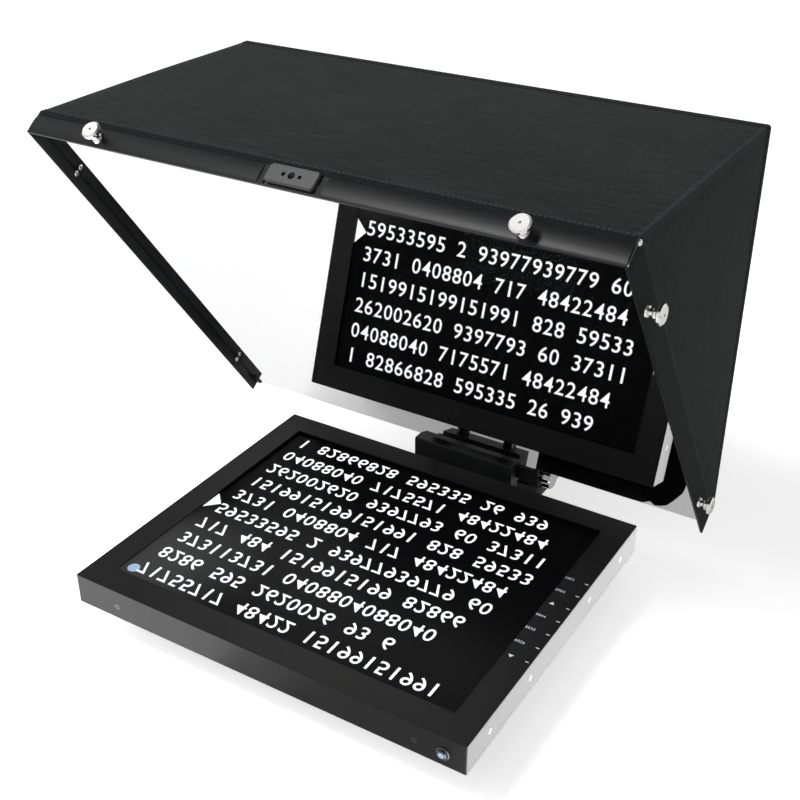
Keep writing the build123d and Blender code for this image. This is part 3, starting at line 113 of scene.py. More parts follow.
# ---------------------------------------------------------------- materials
def grained(name, grain_mm, detail, colours, bump=None, gloss=None, **finish):
    """A finish with one grain: colours at two shares of it, and bump as its strength and depth in metres."""
    made, tree, place = start(name)
    grain = add(tree, "TexNoise", {"Vector": place, "Scale": per_metre(grain_mm), "Detail": detail})
    stops = [(share, srgb(text)) for share, text in colours]
    wires = {"Base Color": add(tree, "ValToRGB", {"Fac": grain, "stops": stops})}
    if gloss:
        wires["Roughness"] = add(tree, "MapRange", {"Value": grain, "To Min": gloss[0], "To Max": gloss[1]})
    if bump:
        wires["Normal"] = add(tree, "Bump", {"Strength": bump[0], "Distance": bump[1], "Height": grain})
    wires.update({key.replace("_", " ").title(): value for key, value in finish.items()})
    add(tree, "OutputMaterial", {"Surface": add(tree, "BsdfPrincipled", wires)})
    return made


def powder_coated_steel():
    """Satin black powder coat, baked on folded sheet: a faint orange-peel skin and soft wide highlights."""
    made, tree, place = start("powder_coated_steel")
    peel = add(tree, "TexNoise", {"Vector": place, "Scale": per_metre(1.6), "Detail": 3.0, "Roughness": 0.55})
    cloud = add(tree, "TexNoise", {"Vector": place, "Scale": per_metre(60), "Detail": 4.0})
    colour = add(tree, "ValToRGB", {"Fac": cloud, "stops": [(0.35, srgb("#0c0d0e")), (0.7, srgb("#121315"))]})
    gloss = add(tree, "MapRange", {"Value": peel, "To Min": 0.34, "To Max": 0.44})
    bump = add(tree, "Bump", {"Strength": 0.18, "Distance": 0.00012, "Height": peel})
    shader = add(tree, "BsdfPrincipled", {
        "Base Color": colour, "Roughness": gloss, "Normal": bump, "Specular IOR Level": 0.22})
    add(tree, "OutputMaterial", {"Surface": shader})
    return made


def black_anodised(name, finish_mm, low, high):
    """Matt black anodised aluminium, milled before dyeing: dry and dark, with faint straight cutter lines."""
    made, tree, place = start(name)
    stretch = add(tree, "Mapping", {"Vector": place, "Scale": (1.0, 0.06, 1.0)})
    lines = add(tree, "TexNoise", {"Vector": stretch, "Scale": per_metre(finish_mm), "Detail": 2.0})
    grit = add(tree, "TexNoise", {"Vector": place, "Scale": per_metre(0.7), "Detail": 2.0})
    colour = add(tree, "ValToRGB", {"Fac": lines, "stops": [(0.3, srgb("#0c0d0e")), (0.75, srgb("#161719"))]})
    gloss = add(tree, "MapRange", {"Value": lines, "To Min": low, "To Max": high})
    bump = add(tree, "Bump", {"Strength": 0.12, "Distance": 0.00008, "Height": grit})
    shader = add(tree, "BsdfPrincipled", {
        "Base Color": colour, "Roughness": gloss, "Normal": bump, "Specular IOR Level": 0.3})
    add(tree, "OutputMaterial", {"Surface": shader})
    return made


def grained_paint():
    """Black structure paint on the monitor's steel case: a fine dry grain that scatters a soft grey sheen."""
    made, tree, place = start("grained_paint")
    grain = add(tree, "TexNoise", {"Vector": place, "Scale": per_metre(1.1), "Detail": 2.0, "Roughness": 0.6})
    cloud = add(tree, "TexNoise", {"Vector": place, "Scale": per_metre(90), "Detail": 3.0})
    colour = add(tree, "ValToRGB", {"Fac": cloud, "stops": [(0.35, srgb("#0c0c0c")), (0.7, srgb("#121211"))]})
    gloss = add(tree, "MapRange", {"Value": grain, "To Min": 0.4, "To Max": 0.56})
    bump = add(tree, "Bump", {"Strength": 0.3, "Distance": 0.00012, "Height": grain})
    shader = add(tree, "BsdfPrincipled", {
        "Base Color": colour, "Roughness": gloss, "Normal": bump, "Specular IOR Level": 0.13})
    add(tree, "OutputMaterial", {"Surface": shader})
    return made


def display_film():
    """Anti-glare film of a display that is switched on: near black, with a painted reflection at one corner,
    drawn as a soft pale glow.
    """
    made, tree, place = start("display_film")
    # painted reflection: a soft pale glow round the film's front left corner stands in for the bright light it
    # would mirror there
    corner = (LCD_LOW.x + 0.02, LCD_LOW.y + 0.045, DISPLAY_Z)
    centred = add(tree, "Mapping", {"Vector": place, "Location": tuple(-v for v in corner)})
    reach = add(tree, "VectorMath", {"operation": "LENGTH", 0: centred})
    glow = add(tree, "MapRange", {"Value": reach.outputs["Value"], "From Min": 0.02, "From Max": 0.12,
                                  "To Min": 0.06, "To Max": 0.0005, "interpolation_type": "SMOOTHSTEP"})
    grain = add(tree, "TexNoise", {"Vector": place, "Scale": per_metre(0.9), "Detail": 1.0})
    bump = add(tree, "Bump", {"Strength": 0.1, "Distance": 0.00005, "Height": grain})
    shader = add(tree, "BsdfPrincipled", {
        "Base Color": srgb("#050506"), "Roughness": 0.24, "Normal": bump, "Specular IOR Level": 0.02,
        "Emission Color": srgb("#e4e5e6"), "Emission Strength": glow})
    add(tree, "OutputMaterial", {"Surface": shader})
    return made


def lit_mark(name, colour, strength):
    """Lit pixels of the display: they glow evenly, a touch softer where the liquid crystal leaks."""
    made, tree, place = start(name)
    leak = add(tree, "TexNoise", {"Vector": place, "Scale": per_metre(6)})
    level = add(tree, "MapRange", {"Value": leak, "To Min": strength * 0.92, "To Max": strength * 1.06})
    shader = add(tree, "BsdfPrincipled", {
        "Base Color": srgb("#202224"), "Roughness": 0.4,
        "Emission Color": srgb(colour), "Emission Strength": level})
    add(tree, "OutputMaterial", {"Surface": shader})
    return made


def beam_splitter():
    """Float glass with a vapour-coated mirror: a clear cold reflection, and a little seen through."""
    made, tree, place = start("beam_splitter")
    wave = add(tree, "TexNoise", {"Vector": place, "Scale": per_metre(300), "Detail": 1.0})
    bump = add(tree, "Bump", {"Strength": 0.02, "Distance": 0.0005, "Height": wave})
    mirror = add(tree, "BsdfGlossy", {"Color": srgb("#efefef"), "Roughness": 0.0, "Normal": bump})
    through = add(tree, "BsdfTransparent", {"Color": srgb("#e3ebea")})
    shader = add(tree, "MixShader", {"Fac": 0.05, 1: mirror, 2: through})
    add(tree, "OutputMaterial", {"Surface": shader})
    return made


def hood_nylon():
    """Woven nylon over stiff board: a tight plain weave that shows as fine cross streaks, with a dry sheen."""
    made, tree, place = start("hood_nylon")
    flat = add(tree, "TexCoord", {}).outputs["UV"]
    # threads lie 0.4 mm apart; slubs in them are drawn 3 mm wide, so that the weave shows from a metre away
    across = add(tree, "Mapping", {"Vector": flat, "Scale": (1.0, 0.07, 1.0)})
    slub = add(tree, "TexNoise", {"Vector": across, "Scale": per_metre(3.0), "Detail": 2.0, "Roughness": 0.75})
    along = add(tree, "Mapping", {"Vector": flat, "Scale": (0.16, 1.0, 1.0)})
    warp = add(tree, "TexNoise", {"Vector": along, "Scale": per_metre(2.6), "Detail": 2.0, "Roughness": 0.75})
    weave = add(tree, "Mix", {"data_type": "FLOAT", 0: 0.38, 2: slub, 3: warp})
    fade = add(tree, "TexNoise", {"Vector": place, "Scale": per_metre(110), "Detail": 3.0})
    tone = add(tree, "ValToRGB", {"Fac": weave.outputs[0],
                                  "stops": [(0.34, srgb("#0b0c0c")), (0.66, srgb("#2d3030"))]})
    worn = add(tree, "ValToRGB", {"Fac": fade, "stops": [(0.35, srgb("#d6d8d8")), (0.68, srgb("#fbfefe"))]})
    colour = add(tree, "Mix", {"data_type": "RGBA", "blend_type": "MULTIPLY", 0: 0.8, 6: tone, 7: worn})
    # painted highlight: the cloth is drawn a little paler along the pressed crease between top and side, to
    # lift the shade the crease falls into
    parts = add(tree, "SeparateXYZ", {0: place})
    aside = add(tree, "Math", {"operation": "ABSOLUTE", 0: parts.outputs["X"]})
    here = add(tree, "CombineXYZ", {"X": aside, "Z": parts.outputs["Z"]})
    crease = (HALF_WIDTH - CREASE / 3, 0.0, CROWN.z - CREASE / 3)
    away = add(tree, "VectorMath", {"operation": "DISTANCE", 0: here, 1: crease})
    crease_highlight = add(tree, "MapRange", {"Value": away.outputs["Value"], "From Min": 1.5 * MM, "From Max": 5 * MM,
                                    "To Min": 0.13, "To Max": 0.0})
    colour = add(tree, "Mix", {"data_type": "RGBA", 0: crease_highlight, 6: colour.outputs[2], 7: srgb("#6a6d70")})
    gloss = add(tree, "MapRange", {"Value": weave.outputs[0], "To Min": 0.56, "To Max": 0.72})
    bump = add(tree, "Bump", {"Strength": 0.3, "Distance": 0.00025, "Height": weave.outputs[0]})
    shader = add(tree, "BsdfPrincipled", {
        "Base Color": colour.outputs[2], "Roughness": gloss, "Normal": bump, "Specular IOR Level": 0.05,
        "Sheen Weight": 0.02, "Sheen Roughness": 0.4, "Sheen Tint": srgb("#b9c0c8")})
    add(tree, "OutputMaterial", {"Surface": shader})
    return made


def binding_tape():
    """Woven polyester binding: ribbed across its width, darker and duller than the nylon it edges."""
    made, tree, place = start("binding_tape")
    flat = add(tree, "TexCoord", {}).outputs["UV"]
    # ribs lie 0.9 mm apart on the real tape and are drawn 1.8 mm apart
    rib = add(tree, "TexWave", {"Vector": flat, "bands_direction": "X", "Scale": per_metre(1.8) / 6.283,
                                "Distortion": 0.3})
    fuzz = add(tree, "TexNoise", {"Vector": place, "Scale": per_metre(1.0), "Detail": 3.0})
    colour = add(tree, "ValToRGB", {"Fac": fuzz, "stops": [(0.3, srgb("#111213")), (0.7, srgb("#1d1f20"))]})
    bump = add(tree, "Bump", {"Strength": 0.5, "Distance": 0.0003, "Height": rib})
    shader = add(tree, "BsdfPrincipled", {
        "Base Color": colour, "Roughness": 0.7, "Normal": bump, "Specular IOR Level": 0.04,
        "Sheen Weight": 0.02, "Sheen Roughness": 0.5})
    add(tree, "OutputMaterial", {"Surface": shader})
    return made


def knitted_elastane():
    """Knitted elastane: matt black, close knit, a soft bloom where it turns away."""
    made, tree, place = start("knitted_elastane")
    flat = add(tree, "TexCoord", {}).outputs["UV"]
    # stitches are 0.5 mm apart on the real knit and are drawn 2 mm apart
    wale = add(tree, "TexWave", {
        "Vector": flat, "bands_direction": "DIAGONAL", "Scale": per_metre(2.0) / 6.283,
        "Distortion": 1.5, "Detail": 2.0})
    fade = add(tree, "TexNoise", {"Vector": place, "Scale": per_metre(50), "Detail": 3.0})
    colour = add(tree, "ValToRGB", {"Fac": fade, "stops": [(0.3, srgb("#17181a")), (0.7, srgb("#242629"))]})
    bump = add(tree, "Bump", {"Strength": 0.3, "Distance": 0.0003, "Height": wale})
    shader = add(tree, "BsdfPrincipled", {
        "Base Color": colour, "Roughness": 0.8, "Normal": bump, "Specular IOR Level": 0.15,
        "Sheen Weight": 0.2, "Sheen Roughness": 0.5})
    add(tree, "OutputMaterial", {"Surface": shader})
    return made


def sewing_thread():
    """Bonded polyester thread: dark grey, with the slight shine of twisted filament."""
    return grained("sewing_thread", 0.6, 1.0, ((0.3, "#161718"), (0.7, "#242628")), roughness=0.5)


def moulded_rubber():
    """Black nitrile rubber, moulded against a blasted tool: dull, with pale dust in its grain."""
    return grained("moulded_rubber", 0.9, 3.0, ((0.35, "#161617"), (0.75, "#262627")),
                   bump=(0.4, 0.00015), roughness=0.85)


def nickel_plate():
    """Turned steel with bright nickel plate: mirror-like with very fine turning marks and a warm cast."""
    return grained("nickel_plate", 0.8, 2.0, ((0.3, "#cfcecb"), (0.7, "#e4e3e0")),
                   gloss=(0.1, 0.2), metallic=1.0)


def black_zinc():
    """Steel screws in black zinc: a dark grey metal with a smoky, slightly uneven shine."""
    return grained("black_zinc", 1.8, 3.0, ((0.3, "#2b2c2e"), (0.7, "#45474a")),
                   gloss=(0.3, 0.45), metallic=1.0)


def black_abs():
    """Black ABS, injection moulded with a fine spark-eroded texture: even, slightly waxy."""
    return grained("black_abs", 0.6, 2.0, ((0.3, "#17181a"), (0.7, "#212224")),
                   bump=(0.2, 0.0001), roughness=0.45)


def lit_acrylic():
    """Polished black push cap with a clear acrylic window in its middle, lit pale blue from behind."""
    made, tree, place = start("lit_acrylic")
    low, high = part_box("power_button")
    middle = (low + high) / 2
    centred = add(tree, "Mapping", {
        "Vector": place, "Location": (-middle.x, 0.0, -middle.z), "Scale": (1.0, 0.0, 1.0)})
    radius = add(tree, "VectorMath", {"operation": "LENGTH", 0: centred})
    lens = add(tree, "MapRange", {"Value": radius.outputs["Value"], "From Min": 0.0026, "From Max": 0.0032,
                                  "To Min": 0.85, "To Max": 0.0})
    mist = add(tree, "TexNoise", {"Vector": place, "Scale": per_metre(1.2)})
    tone = add(tree, "ValToRGB", {"Fac": mist, "stops": [(0.3, srgb("#1b1c1e")), (0.7, srgb("#26282b"))]})
    shader = add(tree, "BsdfPrincipled", {
        "Base Color": tone, "Roughness": 0.18, "Emission Color": srgb("#a8c8f2"), "Emission Strength": lens})
    add(tree, "OutputMaterial", {"Surface": shader})
    return made


def grey_anodised():
    """Bead-blasted aluminium, anodised dark grey: an even, silky grey with tiny sparkle."""
    return grained("grey_anodised", 0.7, 2.0, ((0.3, "#3d3d3e"), (0.7, "#4b4b4c")),
                   bump=(0.2, 0.0001), metallic=0.6, roughness=0.42)


def white_polycarbonate():
    """Moulded white polycarbonate of the backlight tray: milky and slightly glossy."""
    return grained("white_polycarbonate", 40, 2.0, ((0.3, "#d9dbda"), (0.7, "#e9ebea")), roughness=0.38)


def solder_mask():
    """Glass-fibre circuit board under green solder mask: copper tracks show as lighter straight runs."""
    made, tree, place = start("solder_mask")
    track = add(tree, "TexBrick", {"Vector": place, "Scale": per_metre(12), "Color1": srgb("#0d4a2c"),
                                   "Color2": srgb("#0f5532"), "Mortar": srgb("#2b7a4d"), "Mortar Size": 0.03})
    shader = add(tree, "BsdfPrincipled", {"Base Color": track, "Roughness": 0.3})
    add(tree, "OutputMaterial", {"Surface": shader})
    return made


def legend_ink():
    """Screen-printed legend ink: bluish grey, flat, thin enough to follow the grain below."""
    return grained("legend_ink", 0.8, 2.0, ((0.3, "#c2ccd6"), (0.7, "#d8e0e8")), roughness=0.6)


# ---------------------------------------------------------------- making pieces
def dress(slot_name, material):
    """Give a finish to every CAD node that the record puts in this slot."""
    for part in frame["record"]["subparts"]:
        if part["material_slot"] == slot_name:
            mesh = NODES[part["node"]].data
            mesh.materials.clear()
            mesh.materials.append(material)


def clear_selection():
    bpy.ops.object.select_all(action="DESELECT")


def choose(piece):
    """Make one piece the only selected and active one."""
    clear_selection()
    piece.select_set(True)
    bpy.context.view_layer.objects.active = piece


def settle(piece, name, body, material):
    """Apply a piece's place, name it, and let it ride with its finish."""
    choose(piece)
    bpy.ops.object.transform_apply(location=True, rotation=True, scale=True)
    piece.name = piece.data.name = name
    piece.data.materials.clear()
    piece.data.materials.append(material)
    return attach(piece, body)


def from_mesh(name, points, faces, uvs=None):
    """A new object from points and faces, with a UV for each point when there are any."""
    mesh = bpy.data.meshes.new(name)
    mesh.from_pydata([tuple(p) for p in points], [], faces)
    if uvs:
        layer = mesh.uv_layers.new(name="UVMap")
        for loop in mesh.loops:
            layer.data[loop.index].uv = uvs[loop.vertex_index]
    piece = bpy.data.objects.new(name, mesh)
    bpy.context.scene.collection.objects.link(piece)
    return piece


def sheet_of(name, rows, closed=False):
    """A sheet woven from rows of points, with UVs in metres along and across it."""
    count = len(rows[0])
    uvs = []
    length = 0.0
    for i, row in enumerate(rows):
        if i:
            length += (row[count // 2] - rows[i - 1][count // 2]).length
        across = 0.0
        for j, p in enumerate(row):
            if j:
                across += (p - row[j - 1]).length
            uvs.append((across, length))
    faces = []
    for i in range(len(rows) - 1):
        for j in range(count - (0 if closed else 1)):
            k = (j + 1) % count
            faces.append((i * count + j, i * count + k, (i + 1) * count + k, (i + 1) * count + j))
    return from_mesh(name, [p for row in rows for p in row], faces, uvs)


def lay_weave(piece):
    """Run the weave square with the hood on every side, whatever the mesh does: UVs are places in metres."""
    layer = piece.data.uv_layers.active
    for face in piece.data.polygons:
        n = face.normal
        for index in face.loop_indices:
            p = piece.data.vertices[piece.data.loops[index].vertex_index].co
            if abs(n.y) > 0.7:
                layer.data[index].uv = (p.z, p.x)
            else:
                layer.data[index].uv = (p.y, p.x if abs(n.z) > abs(n.x) else p.z)


def modify(piece, kind, settings):
    """Add a modifier with its settings and apply it."""
    choose(piece)
    made = piece.modifiers.new(kind.lower(), kind)
    for name, value in settings.items():
        setattr(made, name, value)
    bpy.ops.object.modifier_apply(modifier=made.name)


def cut_away(piece, cutter):
    """Take a cutter's space out of a piece, and the cutter out of the scene."""
    modify(piece, "BOOLEAN", {"object": cutter, "operation": "DIFFERENCE", "solver": "EXACT"})
    bpy.data.objects.remove(cutter)


def edit_all(piece, operator, **settings):
    """Run one mesh operator on all of a piece."""
    choose(piece)
    bpy.ops.object.mode_set(mode="EDIT")
    bpy.ops.mesh.select_all(action="SELECT")
    operator(**settings)
    bpy.ops.object.mode_set(mode="OBJECT")


def face_out(piece):
    """Point every face of a closed piece outwards."""
    edit_all(piece, bpy.ops.mesh.normals_make_consistent, inside=False)


def smooth(piece, degrees):
    choose(piece)
    bpy.ops.object.shade_smooth_by_angle(angle=radians(degrees))


def sewn(name, rows, thickness, degrees, material, offset=-1.0, closed=False, weave=False):
    """A fabric piece of the hood from rows of points: given its thickness, turned outwards and smoothed."""
    piece = sheet_of(name, rows, closed)
    if weave:
        lay_weave(piece)
    modify(piece, "SOLIDIFY", {"thickness": thickness, "offset": offset})
    face_out(piece)
    smooth(piece, degrees)
    return settle(piece, name, "hood", material)


# ---------------------------------------------------------------- hood
SIDE_ROWS, CREASE_ROWS, TOP_ROWS = 26, 5, 44


def hood_lines():
    """Level lines of the hood's skin, from left foot over the top to right: front, rear, outward normal."""
    lines = []
    shoulder = CROWN.z - CREASE

    def front_y(z):
        return CROWN.y + (CROWN.z - z) * (FOOT.y - CROWN.y) / (CROWN.z - FOOT.z)

    def line(x, z, normal):
        lines.append((Vector((x, front_y(z), z)), Vector((x, HOOD_REAR, z)), normal))

    for i in range(SIDE_ROWS):
        line(-HALF_WIDTH, FOOT.z + (shoulder - FOOT.z) * i / SIDE_ROWS, Vector((-1, 0, 0)))
    for i in range(CREASE_ROWS):
        turn = pi - pi / 2 * i / CREASE_ROWS
        normal = Vector((cos(turn), 0, sin(turn)))
        centre = Vector((-HALF_WIDTH + CREASE, 0, shoulder)) + CREASE * normal
        line(centre.x, centre.z, normal)
    half = HALF_WIDTH - CREASE
    for i in range(TOP_ROWS + 1):
        line(-half + 2 * half * i / TOP_ROWS, CROWN.z, Vector((0, 0, 1)))
    mirrored = [(Vector((-a.x, a.y, a.z)), Vector((-b.x, b.y, b.z)), Vector((-n.x, n.y, n.z)))
                for a, b, n in lines[:SIDE_ROWS + CREASE_ROWS]]
    return lines + mirrored[::-1]


def hood_rows(inward, lift):
    """Rows of points on the skin, each at these distances in metres behind the frame."""
    rows = []
    for front, rear, normal in hood_lines():
        reach = (rear - front).length
        side = abs(normal.x)
        row = []
        for d in inward:
            # a strip of even width crosses a level line at the frame's slant
            run = d if side < 0.5 else d / abs(ALONG.z)
            run = min(run, reach)
            row.append(front + (rear - front).normalized() * run + normal * lift)
        rows.append(row)
    return rows


def hood_cloth(material):
    """One skin over top and sides: it swells a little over the board and ripples faintly, fading out at its
    front and rear edges.
    """
    columns = 22
    rows = []
    for front, rear, normal in hood_lines():
        row = []
        for j in range(columns + 1):
            share = j / columns
            p = front.lerp(rear, share)
            ripple = noise.noise(p * 11.0) * 0.5 * MM + noise.noise(p * 37.0) * 0.15 * MM
            swell = 0.7 * MM * sin(pi * share)
            row.append(p + normal * (ripple * sin(pi * share) + swell))
        rows.append(row)
    piece = sewn("hood_cloth", rows, 2.6 * MM, 40, material, offset=1.0, weave=True)
    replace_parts(piece, "hood_top_panel", "hood_left_panel", "hood_right_panel")
    side_area = 0.5 * (CROWN.z - FOOT.z) * (FOOT.y - CROWN.y) + (HOOD_REAR - FOOT.y) * (CROWN.z - FOOT.z)
    width, length = 2 * (HALF_WIDTH + CROWN.z - FOOT.z), HOOD_REAR - CROWN.y
    area = 2 * side_area + 2 * HALF_WIDTH * length
    return piece, (width, length), area


def hood_hem(material):
    """Front hem of the cloth: it ends a little way down the top bar, and covers the side bars' outer faces."""
    lift = 0.3 * MM
    rows = []
    for base, (front, rear, normal) in zip(hood_rows([4.5 * MM, 2.2 * MM, 0.0], lift), hood_lines()):
        side = abs(normal.x)
        wrap = (5.0 + 19.0 * side ** 4) * MM
        fold = front + (normal + FASCIA * (1 - side)).normalized() * lift
        tip = front + DEPTH * wrap + (normal * side + FASCIA * (1 - side)).normalized() * lift
        rows.append([base[0], base[1], base[2].lerp(fold, 0.5)] + [fold.lerp(tip, k / 4) for k in range(5)])
    return sewn("hood_hem", rows, 0.26 * MM, 50, material, weave=True)


TRIM_UPPER, TRIM_LOWER = 5.4 * MM, 23.4 * MM        # the trim's edges, down the top bar's face
TRIM_CROWN = 1.1 * MM
PLATE_DEPTH = 13 * MM                               # accessory plate's middle, down the top bar's face
SCREW_DEPTH = 16.5 * MM                             # thumbscrews' axes, the same way
SCREW_CLEARANCE = 5.6 * MM                          # radius of the trim's holes round the thumbscrews' feet


def fascia_trim(material):
    """Crowned satin strip on the top bar's face, cut out for the accessory plate and the thumbscrews."""
    half = HALF_WIDTH - 0.8 * MM
    start_line = CROWN + FASCIA * 0.02 * MM
    rows = []
    for i in range(25):
        share = i / 24
        lift = TRIM_CROWN * (1 - (2 * share - 1) ** 2) ** 0.75
        run = start_line + DEPTH * (TRIM_UPPER + (TRIM_LOWER - TRIM_UPPER) * share) + FASCIA * lift
        rows.append([run + Vector((x, 0, 0)) for x in (-half, -half / 2, 0, half / 2, half)])
    piece = sheet_of("fascia_trim", rows)
    modify(piece, "SOLIDIFY", {"thickness": 0.25 * MM, "offset": 0.0})
    face_out(piece)
    tilt = FASCIA.to_track_quat("Z", "Y").to_euler()
    plate_low, plate_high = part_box("accessory_plate")
    clear_selection()
    bpy.ops.mesh.primitive_cube_add(size=1.0, location=CROWN + DEPTH * PLATE_DEPTH, rotation=tilt,
                                    scale=(plate_high.x - plate_low.x + 2 * MM, 40 * MM, 12 * MM))
    cut_away(piece, bpy.context.object)
    for name in ("thumbscrew_top_left", "thumbscrew_top_right"):
        screw_low, screw_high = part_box(name)
        axis = CROWN + DEPTH * SCREW_DEPTH + Vector(((screw_low.x + screw_high.x) / 2, 0, 0))
        clear_selection()
        bpy.ops.mesh.primitive_cylinder_add(vertices=48, radius=SCREW_CLEARANCE, depth=12 * MM, rotation=tilt,
                                            location=axis)
        cut_away(piece, bpy.context.object)
    smooth(piece, 30)
    return settle(piece, "fascia_trim", "hood", material)


def corner_screws(material):
    """Ball-headed screw at each upper corner of the frame's sides, and a small pin near the front edge."""
    heads = []
    for side in (-1, 1):
        for along, depth, radius in ((2.9, 1.9, 2.6), (0.8, 22.4, 0.8)):
            centre = CROWN + (ALONG * along + DEPTH * depth) * MM + Vector((side * HALF_WIDTH, 0, 0))
            clear_selection()
            bpy.ops.mesh.primitive_uv_sphere_add(segments=28, ring_count=14, radius=radius * MM,
                                                 location=centre, rotation=(0, pi / 2, 0), scale=(1, 1, 0.72))
            head = bpy.context.object
            choose(head)
            bpy.ops.object.transform_apply(location=True, rotation=True, scale=True)
            edit_all(head, bpy.ops.mesh.bisect, plane_co=centre - Vector((side * 0.3 * MM, 0, 0)),
                     plane_no=(-side, 0, 0), clear_outer=True, use_fill=True)
            heads.append(head)
    clear_selection()
    for head in heads:
        head.select_set(True)
    bpy.context.view_layer.objects.active = heads[0]
    bpy.ops.object.join()
    piece = heads[0]
    face_out(piece)
    smooth(piece, 50)
    settle(piece, "corner_screws", "hood", material)
    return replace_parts(piece, "frame_rivets")


def hood_rear_binding(material):
    """Binding folded round the hood's rear edge, a flat band on the skin and a bead on the corner."""
    rows = []
    for front, rear, normal in hood_lines():
        reach = (rear - front).length
        ahead = min(8.0 * MM, reach * 0.5)
        back = Vector((0, 1, 0))
        rows.append([rear - back * ahead + normal * 0.35 * MM,
                     rear - back * ahead * 0.4 + normal * 0.5 * MM,
                     rear + normal * 0.5 * MM + back * 0.2 * MM,
                     rear + normal * 0.2 * MM + back * 1.0 * MM,
                     rear - normal * 2.0 * MM + back * 1.2 * MM,
                     rear - normal * 8.0 * MM + back * 0.9 * MM])
    return sewn("hood_rear_binding", rows, 0.6 * MM, 50, material, offset=1.0)


def stitch():
    """One lockstitch, 2.6 mm long, sunk at both ends."""
    bpy.ops.mesh.primitive_cylinder_add(vertices=6, radius=0.22 * MM, depth=2.6 * MM, end_fill_type="NGON")
    made = bpy.context.object
    bpy.ops.object.mode_set(mode="EDIT")
    bpy.ops.mesh.select_all(action="DESELECT")
    bpy.ops.object.mode_set(mode="OBJECT")
    for face in made.data.polygons:
        face.select = abs(face.normal.z) > 0.9
    bpy.ops.object.mode_set(mode="EDIT")
    bpy.ops.mesh.inset(thickness=0.1 * MM)
    bpy.ops.transform.translate(value=(-0.2 * MM, 0, 0))
    bpy.ops.object.mode_set(mode="OBJECT")
    return made


def sew(name, path, normals, pitch, material, body="hood"):
    """Copies of one stitch along a path, joined into one piece."""
    pattern = stitch()
    points = [v.co.copy() for v in pattern.data.vertices]
    loops = [tuple(p.vertices) for p in pattern.data.polygons]
    bpy.data.objects.remove(pattern)
    verts, faces = [], []
    gone, goal = 0.0, pitch / 2
    for a, b, normal in zip(path, path[1:], normals):
        run = (b - a).length
        if run < 1e-9:
            continue
        way = (b - a) / run
        across = normal.cross(way).normalized()
        turn = Matrix((normal.normalized(), across, way)).transposed()
        while goal < gone + run:
            centre = a + way * (goal - gone)
            base = len(verts)
            verts += [centre + turn @ p for p in points]
            faces += [tuple(base + k for k in loop) for loop in loops]
            goal += pitch
        gone += run
    piece = from_mesh(name, verts, faces)
    face_out(piece)
    return settle(piece, name, body, material)


def hem_stitches(material):
    """Two rows of stitches on the front hem."""
    for number, inset in ((1, 1.4 * MM), (2, 3.5 * MM)):
        path = [row[0] for row in hood_rows([inset], 0.5 * MM)]
        sew(f"hem_stitches_{number}", path, [line[2] for line in hood_lines()], 4.4 * MM, material)


def binding_stitches(material):
    path, normals = [], []
    for front, rear, normal in hood_lines():
        ahead = min(6.0 * MM, (rear - front).length * 0.4)
        path.append(rear - Vector((0, ahead, 0)) + normal * 0.45 * MM)
        normals.append(normal)
    sew("binding_stitches", path, normals, 4.4 * MM, material)


def contour(centre, half_x, half_z, angles, power):
    """Points of a rounded rectangle in a plane of constant Y, seen from its centre at these angles."""
    points = []
    for turn in angles:
        c, s = abs(cos(turn)) / half_x, abs(sin(turn)) / half_z
        reach = (c ** power + s ** power) ** (-1 / power)
        points.append(centre + Vector((cos(turn), 0, sin(turn))) * reach)
    return points


OPENING_HALF = ((SLEEVE_HIGH.x - 1.5 * MM), (SLEEVE_HIGH.z - SLEEVE_LOW.z) / 2 - 1.5 * MM)
OPENING_CENTRE = Vector((0, 0, (SLEEVE_HIGH.z + SLEEVE_LOW.z) / 2))


def ring_angles(count, *corners):
    """Even angles round a circle, with extra ones at the given corners."""
    even = [tau * i / count for i in range(count)]
    for half_x, half_z in corners:
        turn = atan2(half_z, half_x)
        for t in (turn, pi - turn, pi + turn, tau - turn):
            nearest = min(range(len(even)), key=lambda i: abs(even[i] - t))
            even[nearest] = t
    return sorted(set(even))


def hood_rear_cloth(material):
    """Rear cloth, softly drawn in round the lens opening, its foot cut out for hinge arms and lock plate."""
    half_x, half_z = HALF_WIDTH - 2.7 * MM, (REAR_HIGH.z - REAR_LOW.z) / 2
    centre = Vector((0, REAR_HIGH.y, (REAR_HIGH.z + REAR_LOW.z) / 2))
    hole = Vector((0, REAR_HIGH.y, OPENING_CENTRE.z))
    angles = ring_angles(120, (half_x, half_z))
    outer = contour(centre, half_x, half_z, angles, 60)
    inner = contour(hole, OPENING_HALF[0], OPENING_HALF[1], angles, 14)
    rows = []
    for k in range(15):
        share = k / 14
        row = []
        for a, b in zip(inner, outer):
            p = a.lerp(b, share)
            slack = sin(pi * share)
            p.y += slack * (noise.noise(p * 13.0) * 0.7 * MM - 0.5 * MM)
            row.append(p)
        rows.append(row)
    piece = sheet_of("hood_rear_cloth", rows, closed=True)
    lay_weave(piece)
    modify(piece, "SOLIDIFY", {"thickness": 2.4 * MM, "offset": -1.0})
    face_out(piece)
    for low_x, high_x in ((-58 * MM, 58 * MM), (83 * MM, 93 * MM)):     # hinge arms, then the lock plate
        clear_selection()
        middle = ((low_x + high_x) / 2, REAR_HIGH.y, REAR_LOW.z + 1 * MM)
        bpy.ops.mesh.primitive_cube_add(size=1.0, location=middle, scale=(high_x - low_x, 20 * MM, 42 * MM))
        cut_away(piece, bpy.context.object)
    smooth(piece, 40)
    settle(piece, "hood_rear_cloth", "hood", material)
    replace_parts(piece, "hood_rear_panel")
    area = 4 * half_x * half_z - 4 * OPENING_HALF[0] * OPENING_HALF[1]
    return piece, (2 * half_x, 2 * half_z), area


